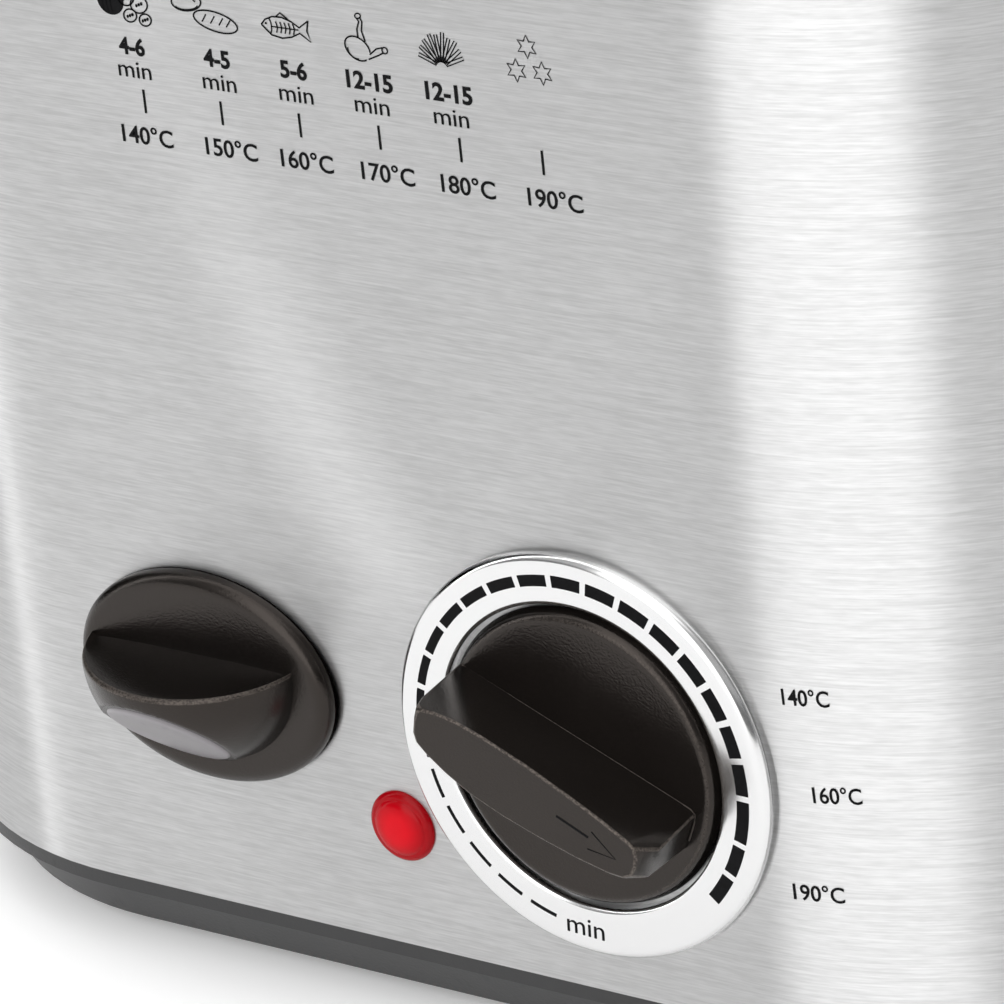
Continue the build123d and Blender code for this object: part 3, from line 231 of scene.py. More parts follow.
lampSettings = {"x": -2.0, "z": 36.3, "radius": 6.1}


def redLens(place):
    # red lens: lit middle that falls off towards the rim
    centre = (-lampSettings["x"] * mm, 0, -lampSettings["z"] * mm)
    moved = place.node("ShaderNodeMapping", {}, {"Vector": place, "Location": centre})
    flat = moved.node("ShaderNodeVectorMath", {"operation": "MULTIPLY"}, {0: moved, 1: (1, 0, 1)})
    away = flat.node("ShaderNodeVectorMath", {"operation": "LENGTH"}, {0: flat}, "Value")
    dim = away.rise(0.0015, lampSettings["radius"] * mm)
    haze = clouds(place, 700, 3)
    return {
        "Base Color": blendTones(dim * 0.8 + haze * 0.2, (0.5, 0.0, 0.006), (0.2, 0.0, 0.002)),
        "Emission Color": blendTones(dim, (1.0, 0.0, 0.015), (0.4, 0.0, 0.006)),
        "Emission Strength": 0.1,
        "Roughness": 0.12 + 0.08 * haze,
        "Specular IOR Level": 0.12,
        "Normal": reliefOf(haze, 0.00002),
    }


def clearGlass(place):
    # nearly clear, with faint greasy smears
    smear = clouds(place, 60, 4)
    return {
        "Base Color": blendTones(smear, (0.86, 0.9, 0.89), (0.95, 0.97, 0.96)),
        "Roughness": 0.02 + 0.05 * smear.rise(0.5, 0.8),
        "Transmission Weight": 0.92,
        "IOR": 1.45,
        "Normal": reliefOf(smear, 0.00002),
    }


def neonGlass(place):
    # small lamp with an orange glow
    glow = clouds(place, 400, 2)
    return {
        "Base Color": blendTones(glow, (0.9, 0.5, 0.3), (0.95, 0.7, 0.5)),
        "Emission Color": blendTones(glow, (1.0, 0.2, 0.05), (1.0, 0.35, 0.1)),
        "Emission Strength": 0.6,
        "Roughness": 0.1 + 0.1 * glow,
    }


def printInk(place):
    # screen-printed ink: nearly black, a little uneven, half matt
    uneven = clouds(place, 1400, 3)
    return {
        "Base Color": blendTones(uneven, (0.002, 0.002, 0.002), (0.008, 0.008, 0.009)),
        "Roughness": 0.5 + 0.15 * uneven,
        "Specular IOR Level": 0.06,
        "Normal": reliefOf(uneven, 0.00001),
    }


def foam(place):
    # open cells, painted dark in their middles as shade in the pores, and lighter at their walls
    cells = place.node("ShaderNodeTexVoronoi", {}, {"Vector": place, "Scale": 900.0})
    return {
        "Base Color": blendTones(cells.rise(0.0, 0.6), (0.01, 0.01, 0.011), (0.055, 0.055, 0.058)),
        "Roughness": 0.9 + 0.08 * cells,
        "Normal": reliefOf(cells, 0.0004),
    }


knobSettings = {
    "tone": (0.0022, 0.0018, 0.0016),
    # the lighter colour of the painted edge highlight
    "highlightTone": (0.15, 0.128, 0.112),
    "gloss": 0.42,
    "roughness": 0.21,
}


def knobPlastic(tone, rough):
    # fine moulded spark texture with small bright flecks, and edges painted lighter in grainy streaks as a
    # highlight
    def recipe(place):
        # per-point weight of the painted edge highlight
        lightened = place.node("ShaderNodeAttribute", {"attribute_name": "paintedHighlight"}, {}, "Fac")
        grainyHighlight = lightened * clouds(place, 2900, 3).rise(0.36, 0.62)
        fine = clouds(place, 2600, 3)
        broad = clouds(place, 60, 4)
        fleck = clouds(place, 3400, 2).rise(0.62, 0.74)
        lightness = broad * 0.03 + fleck * 0.03 + grainyHighlight
        return {
            "Base Color": blendTones(lightness, scaled(tone, 0.9), knobSettings["highlightTone"]),
            "Roughness": rough - 0.05 + 0.07 * broad + 0.04 * fine + 0.25 * lightened,
            "Specular IOR Level": knobSettings["gloss"],
            "Specular Tint": (1.0, 0.87, 0.79, 1.0),
            "Normal": reliefOf(fine, 0.00004),
        }
    return recipe


finishes = {
    "brushed_steel": brushedSteel,
    "black_housing": moulded((0.016, 0.016, 0.0165), 0.42),
    "knob_black": knobPlastic(knobSettings["tone"], knobSettings["roughness"]),
    "pad_grey": moulded((0.17, 0.158, 0.168), 0.3, 0.000004, 1400, 0.5, 0.1),
    "ring_chrome": drawnMetal((0.74, 0.74, 0.74), 0.15, (1, 1, 1), 900, 0.000001, 0.03),
    "lens_red": redLens,
    "lamp_white": moulded((0.72, 0.71, 0.67), 0.5),
    "neon_glass": neonGlass,
    "rubber": moulded((0.02, 0.02, 0.02), 0.75, 0.00006, 1200, 0.3),
    "silicone": moulded((0.46, 0.46, 0.43), 0.55, 0.00002),
    "bowl_coating": moulded((0.05, 0.05, 0.052), 0.3, 0.00002, 2400, 0.6, 0.15),
    "aluminium": drawnMetal((0.78, 0.79, 0.8), 0.3, (0.05, 1, 1), 500),
    "zinc_steel": drawnMetal((0.58, 0.57, 0.53), 0.34, (1, 1, 1), 380),
    "element_steel": drawnMetal((0.2, 0.19, 0.175), 0.45, (1, 1, 1), 260, 0.00001, 0.3),
    "ceramic": moulded((0.78, 0.76, 0.7), 0.4, 0.00002),
    "phenolic": moulded((0.085, 0.05, 0.03), 0.4),
    "brass": drawnMetal((0.72, 0.53, 0.26), 0.28, (1, 1, 1), 420),
    "window_glass": clearGlass,
    "filter_foam": foam,
    "wire_chrome": drawnMetal((0.8, 0.8, 0.81), 0.13, (1, 1, 1), 700, 0.000002, 0.08),
}
materials = {slotName: makeMaterial(slotName, recipe) for slotName, recipe in finishes.items()}
ink = makeMaterial("print_ink", printInk)
print("materials made:", len(materials) + 1)


def addPiece(name, mesh, slotName, body, stands=(), material=None):
    # puts a mesh in the scene, on its body and in the place of the CAD nodes that it stands for
    mesh.materials.clear()
    mesh.materials.append(material or materials[slotName])
    piece = bpy.data.objects.new(name, mesh)
    bpy.context.scene.collection.objects.link(piece)
    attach(piece, body)
    if stands:
        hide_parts(*stands)
    return piece


def gridMesh(name, points, roundV=False, paintedHighlight=None):
    # a sheet of quads over a (rows, columns, 3) array in millimetres; a per-point painted highlight weight
    # is kept for the finish
    rows, columns = points.shape[:2]
    index = np.arange(rows * columns).reshape(rows, columns)
    if roundV:
        index = np.hstack([index, index[:, :1]])
    quads = np.stack(
        [index[:-1, :-1], index[:-1, 1:], index[1:, 1:], index[1:, :-1]], axis=-1
    ).reshape(-1, 4)
    mesh = bpy.data.meshes.new(name)
    mesh.from_pydata((points.reshape(-1, 3) * mm).tolist(), [], quads.tolist())
    if paintedHighlight is not None:
        spread = np.broadcast_to(paintedHighlight, (rows, columns)).astype(np.float32).ravel()
        mesh.attributes.new("paintedHighlight", "FLOAT", "POINT").data.foreach_set("value", spread)
    return mesh


def smoothMesh(mesh, angle=32, merge=0.000002, outward=False):
    # merges doubles, and keeps edges sharper than the angle crisp
    work = bmesh.new()
    work.from_mesh(mesh)
    bmesh.ops.remove_doubles(work, verts=work.verts, dist=merge)
    bmesh.ops.dissolve_degenerate(work, edges=work.edges, dist=merge / 2)
    if outward:
        bmesh.ops.recalc_face_normals(work, faces=work.faces)
    limit = math.radians(angle)
    for edge in work.edges:
        edge.smooth = len(edge.link_faces) == 2 and edge.calc_face_angle(0) < limit
    for face in work.faces:
        face.smooth = True
    work.to_mesh(mesh)
    work.free()
    return mesh


def copyOfNode(node):
    # the CAD node's own corners and faces in a new mesh
    source = nodes[node].data
    mesh = bpy.data.meshes.new(node + "Look")
    corners = np.zeros(len(source.vertices) * 3, np.float32)
    source.vertices.foreach_get("co", corners)
    mesh.from_pydata(
        corners.reshape(-1, 3).tolist(), [], [list(face.vertices) for face in source.polygons]
    )
    return mesh


def weighNormals(piece):
    # lets the large faces decide how light falls on the rounded edges
    weigh = piece.modifiers.new("weigh", "WEIGHTED_NORMAL")
    weigh.keep_sharp = True


def refine(node):
    # smooth copy of a CAD node that stands in for it
    mesh = smoothMesh(copyOfNode(node))
    weighNormals(addPiece(node + "Look", mesh, slotOf[node], bodyOf[node], [node]))


ownPieces = {"thermostat_knob", "drain_knob", "drain_knob_pad", "dial_ring", "pilot_lens"}
for node in nodes:
    if node not in ownPieces:
        refine(node)

# the latch spring gets its own copy of its mesh
spring = bpy.data.objects["button_springLook"]
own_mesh(spring)
print("carried-over nodes refined")


dialSettings = {
    "centre": (35.9, 56.6),
    "front": -140.0,
    "ringInner": 25.9,
    "ringProud": 2.5,
    "discFace": 3.0,
    "reach": 17.7,
    "turn": -22.4,
    "barHalf": 3.75,
    "barBevel": 0.5,
    "barHighlight": 0.6,
    "ribRadius": 0.14,
    "ribHeight": 0.12,
}


def turned(name, profile, centre, front, steps=160, paintedHighlight=None):
    # a profile of (radius, height off the front) carried round the dial axis
    profile = np.array(profile, float)
    around = np.linspace(0, 2 * np.pi, steps, endpoint=False)
    points = np.stack(
        [
            centre[0] + profile[:, :1] * np.cos(around),
            front - np.repeat(profile[:, 1:], steps, axis=1),
            centre[1] + profile[:, :1] * np.sin(around),
        ],
        axis=-1,
    )
    return gridMesh(name, points, roundV=True, paintedHighlight=paintedHighlight)


def arcPoints(centre, radius, start, end, count):
    # points on a circle between two angles in degrees
    angles = np.radians(np.linspace(start, end, count))
    return np.stack([centre[0] + radius * np.cos(angles), centre[1] + radius * np.sin(angles)], -1)


dialCentre = dialSettings["centre"]
dialFront = dialSettings["front"]
inner, proud, face = (dialSettings[key] for key in ("ringInner", "ringProud", "discFace"))
ringProfile = np.vstack([
    [(inner, 0.0), (inner, 1.6)],
    arcPoints((26.7, 1.7), 0.8, 180, 90, 7),
    [(27.4, proud), (30.0, proud), (32.6, proud)],
    arcPoints((32.9, 1.0), 1.5, 84, 0, 12),
    [(34.3, 0.75), (33.7, 0.45), (33.6, 0.0), (inner, 0.0)],
])
addPiece(
    "dialRing",
    smoothMesh(turned("dialRing", ringProfile, dialCentre, dialFront, 240), 40, outward=True),
    "ring_chrome", "housing", ["dial_ring"],
)

discProfile = np.vstack([
    [(2.5, -0.6), (25.0, 0.6), (25.2, 0.8), (24.9, 1.5)],
    arcPoints((23.2, 1.4), 1.6, 12, 90, 9),
    [(22.6, face - 0.04), (12.0, face), (0.05, face)],
])


def ontoKnob(along, out, across):
    # millimetres along the bar, out of the panel and across the bar, turned with the bar
    turn = math.radians(dialSettings["turn"])
    return np.stack([
        dialCentre[0] + along * math.cos(turn) - across * math.sin(turn),
        dialFront - out,
        dialCentre[1] + along * math.sin(turn) + across * math.cos(turn),
    ], -1)


def knobBar():
    # grip bar: the hull between a straight foot in the disc and a fuller rounded front outline
    reach, half = dialSettings["reach"], dialSettings["barHalf"]
    foot = np.array([(-24.4, 1.0, half), (21.6, 1.0, half), (21.6, 1.0, -half), (-24.4, 1.0, -half)])
    shoulder = np.array([
        (22.2, reach - 3.6, -2.7), (22.3, reach - 4.4, 2.6),
        (-23.3, reach - 3.4, 3.6), (-22.6, reach - 1.2, 3.9),
    ])
    front = np.array([
        (-21.3, 4.2), (-18.5, 5.2), (-15.0, 5.9), (-10.0, 6.2), (-2.0, 6.1), (6.7, 5.5), (13.0, 4.9),
        (18.6, 4.1), (19.9, 3.6), (20.8, 2.2), (21.1, 0.4), (20.8, -1.4), (19.6, -2.6), (17.0, -3.4),
        (11.0, -4.3), (4.0, -4.9), (-3.0, -5.2), (-9.0, -5.0), (-14.0, -4.1), (-18.0, -3.0), (-20.4, -2.0),
        (-21.4, -0.6), (-21.8, 1.4), (-21.8, 3.2),
    ])
    corners = np.vstack([foot, shoulder, np.insert(front, 1, reach, axis=1)])
    work = bmesh.new()
    for point in ontoKnob(*corners.T) * mm:
        work.verts.new(point)
    hull = bmesh.ops.convex_hull(work, input=work.verts)
    bmesh.ops.delete(work, geom=hull["geom_interior"] + hull["geom_unused"], context="VERTS")
    bmesh.ops.dissolve_limit(
        work, angle_limit=math.radians(0.8), verts=work.verts, edges=work.edges
    )
    bmesh.ops.recalc_face_normals(work, faces=work.faces)
    bevelled = bmesh.ops.bevel(
        work, geom=[edge for edge in work.edges if edge.calc_face_angle(0) > math.radians(28)],
        offset=dialSettings["barBevel"] * mm, segments=3, profile=0.5, affect="EDGES", clamp_overlap=True,
    )
    # the bar's bevelled edges are painted lighter as a highlight
    paintedHighlight = work.verts.layers.float.new("paintedHighlight")
    rounded = set(bevelled["faces"])
    for vert in work.verts:
        lightened = all(face in rounded for face in vert.link_faces)
        vert[paintedHighlight] = dialSettings["barHighlight"] if lightened else 0.0
    mesh = bpy.data.meshes.new("knobBar")
    work.to_mesh(mesh)
    work.free()
    return mesh


# the disc's rounded rim is painted lighter as a faint highlight
rimHighlight = np.zeros((len(discProfile), 1))
rimHighlight[9:11] = 0.15
discMesh = turned("thermostatKnob", discProfile, dialCentre, dialFront, 200, rimHighlight)
addPiece(
    "knobDisc", smoothMesh(discMesh, 40, outward=True),
    "knob_black", "thermostat_knob", ["thermostat_knob"],
)
weighNormals(addPiece("knobBar", smoothMesh(knobBar(), 26), "knob_black", "thermostat_knob"))


def footRib():
    # thin moulding line where the bar's upper foot meets the disc: a small round bead along a path,
    # painted lighter as a highlight
    path = np.array([
        (-23.6, 3.9), (-12.0, 3.95), (0.0, 3.95), (12.0, 3.95),
        (20.6, 3.95), (21.6, 3.5), (21.9, 2.0), (21.95, -1.5),
    ])
    run = np.gradient(path, axis=0)
    run /= np.linalg.norm(run, axis=1, keepdims=True)
    side = np.column_stack([-run[:, 1], run[:, 0]])
    around = np.linspace(0, 2 * np.pi, 8, endpoint=False)
    flat = path[:, None] + dialSettings["ribRadius"] * np.cos(around)[None, :, None] * side[:, None]
    bulge = dialSettings["ribHeight"] * np.sin(around)[None, :].repeat(len(path), axis=0)
    points = ontoKnob(flat[..., 0], dialSettings["discFace"] + 0.02 + bulge, flat[..., 1])
    return gridMesh("footRib", points, roundV=True, paintedHighlight=np.full((len(path), 1), 0.3))


addPiece("knobFootRib", smoothMesh(footRib(), 60), "knob_black", "thermostat_knob")
print("thermostat dial made")


drainSettings = {
    "centre": (-37.4, 56.7),
    "back": -140.4,
    "width": 50.0,
    "height": 36.6,
    "plate": 2.8,
    "gripCentre": (-38.7, 60.0),
    "gripHalf": 20.5,
    "gripReach": 17.5,
    "rearRise": 1.9,
    "ridgeRound": 0.8,
    "scoopDepth": 0.7,
    "facetDistance": 14.6,
    "facetTilt": 45.0,
    "facetTurn": -2.0,
    "padSink": 0.45,
    "padProud": 0.12,
    "padShare": 0.985,
    "ridgeHighlight": 0.4,
}


def drainPlate():
    # an oval plate: the same edge profile on every ray from the centre, stretched to an ellipse
    halfWide, halfHigh = drainSettings["width"] / 2, drainSettings["height"] / 2
    profile = np.vstack([
        [(0.0, 0.0), (0.4, 0.0), (0.0, 0.35), (0.0, 0.8)],
        [(0.15, 1.5), (0.5, 2.05), (1.05, 2.5), (1.7, 2.72), (2.4, 2.8), (3.2, 2.8)],
    ])
    around = np.linspace(0, 2 * np.pi, 180, endpoint=False)
    inset, height = profile[:, :1], profile[:, 1:]
    (midX, midZ), back = drainSettings["centre"], drainSettings["back"]
    x = midX + (halfWide - inset) * np.cos(around)
    z = midZ + (halfHigh - inset) * np.sin(around)
    y = back - np.repeat(height, len(around), axis=1)
    points = np.stack([x, y, z], -1)
    middle = np.array([midX, back - drainSettings["plate"], midZ])
    rings = [middle + (points[-1] - middle) * share for share in (0.75, 0.45, 0.15, 0.0)]
    return gridMesh("drainPlate", np.concatenate([points, np.stack(rings)]), roundV=True)


def facetNormal():
    # points forwards, tipped down by the tilt and swung sideways by the turn
    tilt, turn = math.radians(drainSettings["facetTilt"]), math.radians(drainSettings["facetTurn"])
    level = math.cos(turn)
    return np.array([math.sin(turn), -level * math.cos(tilt), -level * math.sin(tilt)])


def drainGrip():
    # quarter dome below a level ridge: on each cross-section the line runs along the
    # scooped top, round the ridge, and down an arc that a flat facet cuts off
    half, reach = drainSettings["gripHalf"], drainSettings["gripReach"]
    gripX, gripZ = drainSettings["gripCentre"]
    along = np.sin(np.linspace(-0.5 * np.pi, 0.5 * np.pi, 121))
    size = reach * np.sqrt(np.clip(1 - along**2, 0, 1))
    top = np.linspace(0, 1, 26)[:-1]
    bend = np.linspace(0, 1, 9)[:-1]
    down = np.linspace(0, 1, 64)
    radius = np.minimum(drainSettings["ridgeRound"], size * 0.25)[:, None]
    scoop = np.minimum(drainSettings["scoopDepth"], size * 0.3)[:, None]
    full = size[:, None]
    rear = drainSettings["rearRise"]
    ridge = rear * (1 - full / reach)
    topY = (full - radius) * top
    topZ = rear * (1 - top) + ridge * top - scoop * np.sin(np.pi * top) ** 1.2
    bendY = full - radius + radius * np.sin(bend * np.pi / 2)
    bendZ = ridge - radius + radius * np.cos(bend * np.pi / 2)
    sweep = down * np.pi / 2
    downY = full * np.cos(sweep)
    downZ = ridge * (1 - down) - radius - (full - radius) * np.sin(sweep)
    out = np.hstack([topY, bendY, downY])
    rise = np.hstack([topZ, bendZ, downZ])
    x = half * np.repeat(along[:, None], out.shape[1], axis=1)
    facet = facetNormal()
    floorAt = drainSettings["facetDistance"] - drainSettings["padSink"]
    past = np.clip(x * facet[0] - out * facet[1] + rise * facet[2] - floorAt, 0, None)
    x, out, rise = x - past * facet[0], out + past * facet[1], rise - past * facet[2]
    # the rounded ridge is painted lighter as a highlight, less so where the dome is small
    edge = np.zeros(out.shape[1])
    edge[len(top) + 1:len(top) + len(bend)] = drainSettings["ridgeHighlight"]
    paintedHighlight = edge * np.clip(size / 6, 0, 1)[:, None]
    points = np.stack([gripX + x, drainSettings["back"] - out, gripZ + rise], -1)
    return gridMesh("drainGrip", points, paintedHighlight=paintedHighlight)


def thumbPad():
    # the facet plane cuts the dome in an ellipse; the pad is that ellipse with a rounded rim,
    # worked out on a unit ball and stretched back to the dome's three half-lengths
    half, reach = drainSettings["gripHalf"], drainSettings["gripReach"]
    sink, proud = drainSettings["padSink"], drainSettings["padProud"]
    sizes = np.array([half, reach, reach])
    normal = facetNormal()
    stretched = normal * sizes
    axis = stretched / np.linalg.norm(stretched)
    first = np.cross(axis, (0, 0, 1))
    first /= np.linalg.norm(first)
    second = np.cross(axis, first)
    around = np.linspace(0, 2 * np.pi, 72, endpoint=False)
    circle = np.cos(around)[:, None] * first + np.sin(around)[:, None] * second
    distance = drainSettings["facetDistance"]
    offset = distance / np.linalg.norm(stretched)
    cutRadius = math.sqrt(1 - offset**2) * drainSettings["padShare"]
    # from the hidden foot up over the rounded rim to the middle: share of the height, share of the radius
    steps = [
        (-0.6, 1.0), (-0.05, 1.0), (0.3, 0.985), (0.6, 0.955),
        (0.85, 0.9), (1.0, 0.8), (1.0, 0.4), (1.0, 0.001),
    ]
    rows = []
    for rise, share in steps:
        ring = axis * offset + cutRadius * share * circle
        rows.append(ring * sizes + normal * (rise * (sink + proud) - sink))
    gripX, gripZ = drainSettings["gripCentre"]
    centre = np.array([gripX, drainSettings["back"], gripZ])
    return gridMesh("thumbPad", np.stack(rows) + centre, roundV=True)


plateMesh = smoothMesh(drainPlate(), 40, outward=True)
addPiece("drainKnobPlate", plateMesh, "knob_black", "drain_knob", ["drain_knob"])
addPiece("drainKnobGrip", smoothMesh(drainGrip(), 24), "knob_black", "drain_knob")
padMesh = smoothMesh(thumbPad(), 50, outward=True)
addPiece("thumbPad", padMesh, "pad_grey", "drain_knob", ["drain_knob_pad"])
print("drain knob made")


lensArc = arcPoints((0, 0), 1.0, 8, 90, 16)
lensRadius = lampSettings["radius"]
lensProfile = np.vstack([
    [(lensRadius, -0.4), (lensRadius, 0.25), (5.95, 0.55), (5.6, 0.85), (5.2, 1.02), (5.0, 0.98)],
    np.column_stack([4.85 * lensArc[:, 0] ** 0.85, 0.9 + 1.1 * lensArc[:, 1]]),
])
lensProfile[-1, 0] = 0.01
lensCentre = (lampSettings["x"], lampSettings["z"])
lensMesh = turned("pilotLens", lensProfile, lensCentre, dialFront, 96)
addPiece("pilotLens", smoothMesh(lensMesh, 60, outward=True), "lens_red", "housing", ["pilot_lens"])


wallSettings = {"flatEnd": 64.5, "corner": 64.0, "lift": 0.06, "ringLift": 0.05, "barLift": 0.04}


def ontoWall(flat):
    # flat print laid on the front wall; past the flat's end it follows the corner's arc
    x, z = flat[:, 0], flat[:, 1]
    corner = wallSettings["corner"]
    side = np.sign(x)
    past = np.clip(np.abs(x) - wallSettings["flatEnd"], 0, None) / corner
    radius = corner + wallSettings["lift"]
    px = side * (np.minimum(np.abs(x), wallSettings["flatEnd"]) + radius * np.sin(past))
    py = dialFront + corner - radius * np.cos(past)
    return np.column_stack([px, py, z]) * mm


def ontoRing(flat):
    # flat print laid on the ring's face, in millimetres from the dial centre
    return np.column_stack([
        dialCentre[0] + flat[:, 0],
        np.full(len(flat), dialFront - dialSettings["ringProud"] - wallSettings["ringLift"]),
        dialCentre[1] + flat[:, 1],
    ]) * mm


def strip(line, width, closed=False):
    # a drawn line: each point moves half the width either way along its normal
    line = np.array(line, float)
    if closed:
        line = np.vstack([line, line[:1]])
        run = np.gradient(np.vstack([line[-2], line, line[1]]), axis=0)[1:-1]
    else:
        run = np.gradient(line, axis=0)
    run = run / np.maximum(np.linalg.norm(run, axis=1, keepdims=True), 1e-9)
    across = np.column_stack([-run[:, 1], run[:, 0]]) * width / 2
    count = len(line)
    faces = [(i, i + 1, count + i + 1, count + i) for i in range(count - 1)]
    return np.vstack([line - across, line + across]), faces


def blob(outline):
    # a filled shape from its outline
    return np.array(outline, float), [tuple(range(len(outline)))]


def drawPrint(name, shapes, lay, body):
    # joins flat shapes into one thin mesh that faces forwards
    corners, faces = [], []
    for points, polygons in shapes:
        start = sum(len(part) for part in corners)
        corners.append(points)
        faces += [tuple(start + i for i in polygon) for polygon in polygons]
    mesh = bpy.data.meshes.new(name)
    mesh.from_pydata(lay(np.vstack(corners)).tolist(), [], faces)
    work = bmesh.new()
    work.from_mesh(mesh)
    bmesh.ops.triangulate(work, faces=[face for face in work.faces if len(face.verts) > 4])
    for face in work.faces:
        face.normal_update()
        if face.normal.y > 0:
            face.normal_flip()
    work.to_mesh(mesh)
    work.free()
    return addPiece(name, mesh, None, body, material=ink)


def lettering(text, centre, height, width=None, weight=0.0, turn=0.0):
    # text outline as flat triangles, scaled to a height and, if given, a width
    curve = bpy.data.curves.new("lettering", "FONT")
    curve.body = text
    curve.resolution_u = 4
    curve.offset = weight
    holder = bpy.data.objects.new("lettering", curve)
    mesh = bpy.data.meshes.new_from_object(holder)
    points = np.array([vertex.co[:2] for vertex in mesh.vertices])
    faces = [tuple(polygon.vertices) for polygon in mesh.polygons]
    bpy.data.objects.remove(holder)
    bpy.data.meshes.remove(mesh)
    bpy.data.curves.remove(curve)
    low, high = points.min(0), points.max(0)
    scale = np.array([height / (high[1] - low[1])] * 2)
    if width:
        scale[0] = width / (high[0] - low[0])
    points = (points - (low + high) / 2) * scale
    c, s = math.cos(math.radians(turn)), math.sin(math.radians(turn))
    points = points @ np.array([[c, s], [-s, c]])
    return points + np.array(centre), faces


def arcBlock(start, end, inner, outer):
    # a block of the dial scale between two angles and two radii
    count = 8
    inside = arcPoints((0, 0), inner, start, end, count)
    outside = arcPoints((0, 0), outer, start, end, count)
    faces = [(i, i + 1, count + i + 1, count + i) for i in range(count - 1)]
    return np.vstack([inside, outside]), faces


scaleSettings = {
    "radius": 30.05,
    "blocks": [-35.2, -23.2, -9.4] + [4.5 + 12.0 * step for step in range(15)],
    "longBlock": 2,
    "longSpan": 6.9,
    "blockSpan": 5.0,
    "thickness": 2.2,
    "thinning": 0.8,
    "dashes": (185.5, 199.0, 211.5, 224.5, 237.5, 250.5),
    "dashSpan": 4.8,
    "dashWidth": 0.6,
}


def dialScale():
    # full blocks from the lower right get thinner past the top; dashes lead on to the low mark
    shapes = []
    radius = scaleSettings["radius"]
    for number, middle in enumerate(scaleSettings["blocks"]):
        span = scaleSettings["longSpan" if number == scaleSettings["longBlock"] else "blockSpan"]
        thick = scaleSettings["thickness"] - scaleSettings["thinning"] * max(0.0, (middle - 60.0) / 112.0)
        shapes.append(arcBlock(middle - span, middle + span, radius - thick / 2, radius + thick / 2))
    span = scaleSettings["dashSpan"]
    for middle in scaleSettings["dashes"]:
        shapes.append(arcBlock(middle - span, middle + span, radius - scaleSettings["dashWidth"], radius))
    return shapes


dialPrint = dialScale() + [lettering("min", (-2.1, -29.7), 3.0, 7.0, 0.0, -3.0)]
drawPrint("dialPrint", dialPrint, ontoRing, "housing")


def shifted(shapes, x, z):
    # flat shapes moved to a new middle
    return [(points + np.array([x, z]), faces) for points, faces in shapes]


def oval(x, z, halfWide, halfHigh, turn=0.0, start=0.0, end=360.0, count=28):
    # an ellipse or part of one, turned about its middle
    angles = np.radians(np.linspace(start, end, count))
    c, s = math.cos(math.radians(turn)), math.sin(math.radians(turn))
    flat = np.column_stack([halfWide * np.cos(angles), halfHigh * np.sin(angles)])
    return flat @ np.array([[c, s], [-s, c]]) + np.array([x, z])


lineWidth = 0.26


def onionIcon():
    # a filled onion beside four small rings of cut vegetable
    shapes = [blob(oval(-2.6, 0.6, 2.6, 2.5, count=29)[:-1])]
    for shift in (-1.1, -0.3, 0.5):
        shapes.append(strip(oval(-2.6 + shift, 0.6, 0.5, 2.2, 0, 100, 260, 12), 0.14))
    for x, z, size in ((0.6, 1.2, 1.5), (3.0, 0.4, 1.7), (1.0, -1.6, 1.3), (3.9, -2.0, 1.2)):
        shapes.append(strip(oval(x, z, size, size * 0.8, 20), lineWidth, True))
        for step in range(3):
            shapes.append(blob(oval(x + 0.5 * (step - 1), z + 0.2 * (step - 1), 0.22, 0.3, 0, 0, 320, 8)))
    return shapes


def breadIcon():
    # two rolls and a scored loaf
    shapes = [strip(oval(-3.1, 2.0, 2.9, 1.45, 8), lineWidth, True)]
    shapes.append(strip(oval(-3.1, 1.5, 2.2, 0.75, 8, 190, 350, 14), 0.2))
    shapes.append(strip(oval(0.6, 3.3, 2.5, 1.3, 10, -20, 215, 20), lineWidth))
    for x in (-0.6, 0.4, 1.4):
        shapes.append(strip([(x, 3.4), (x + 0.25, 3.9)], 0.2))
    shapes.append(strip(oval(2.2, -0.6, 4.2, 1.6, -8), lineWidth, True))
    for x in (-0.4, 1.2, 2.8, 4.2):
        shapes.append(strip([(x, -0.9 - x * 0.08), (x + 0.9, 0.4 - x * 0.1)], 0.22))
    return shapes


def fishIcon():
    # a fish outline with its bones
    upper = [(-4.4, 0.1), (-3.6, 1.0), (-2.2, 1.6), (-0.4, 1.7), (1.4, 1.2), (2.8, 0.4), (4.6, 1.7)]
    lower = [
        (4.6, 1.7), (4.2, 0.0), (4.8, -1.7), (2.8, -0.5),
        (1.2, -1.3), (-0.6, -1.7), (-2.6, -1.4), (-4.4, 0.1),
    ]
    shapes = [strip(upper, lineWidth), strip(lower, lineWidth)]
    shapes.append(strip([(-2.6, 0.0), (2.6, 0.0)], 0.2))
    shapes.append(strip(oval(-3.0, 0.0, 0.5, 1.3, 0, -80, 80, 10), 0.2))
    shapes.append(blob(oval(-3.5, 0.4, 0.2, 0.2, 0, 0, 320, 8)))
    for x in (-1.6, -0.8, 0.0, 0.8, 1.6):
        shapes.append(strip([(x, -0.9), (x + 0.25, 0.0), (x, 0.9)], 0.22))
    shapes.append(strip([(-1.4, 1.7), (-0.6, 2.4), (0.8, 1.5)], lineWidth))
    return shapes


def chickenIcon():
    # two drumsticks
    shapes = [strip(oval(-1.0, -1.6, 2.4, 1.8, -25, 20, 330, 24), lineWidth)]
    shapes.append(strip([(0.6, -0.3), (0.1, 1.4), (0.4, 2.8), (0.0, 3.6)], lineWidth))
    shapes.append(strip([(-0.7, 0.2), (-0.7, 1.6), (-0.2, 2.8), (-0.6, 3.4)], lineWidth))
    shapes.append(strip(oval(-0.3, 3.7, 0.55, 0.4, 20), 0.22, True))
    shapes.append(strip([(1.2, -2.3), (2.6, -1.2), (3.7, -0.9)], lineWidth))
    shapes.append(strip([(0.9, -3.1), (2.9, -2.2), (3.8, -1.7)], lineWidth))
    shapes.append(strip(oval(4.1, -1.3, 0.5, 0.5, 20), 0.22, True))
    shapes.append(strip(oval(-1.5, -2.1, 1.4, 1.1, -30, 190, 320, 12), 0.2))
    return shapes


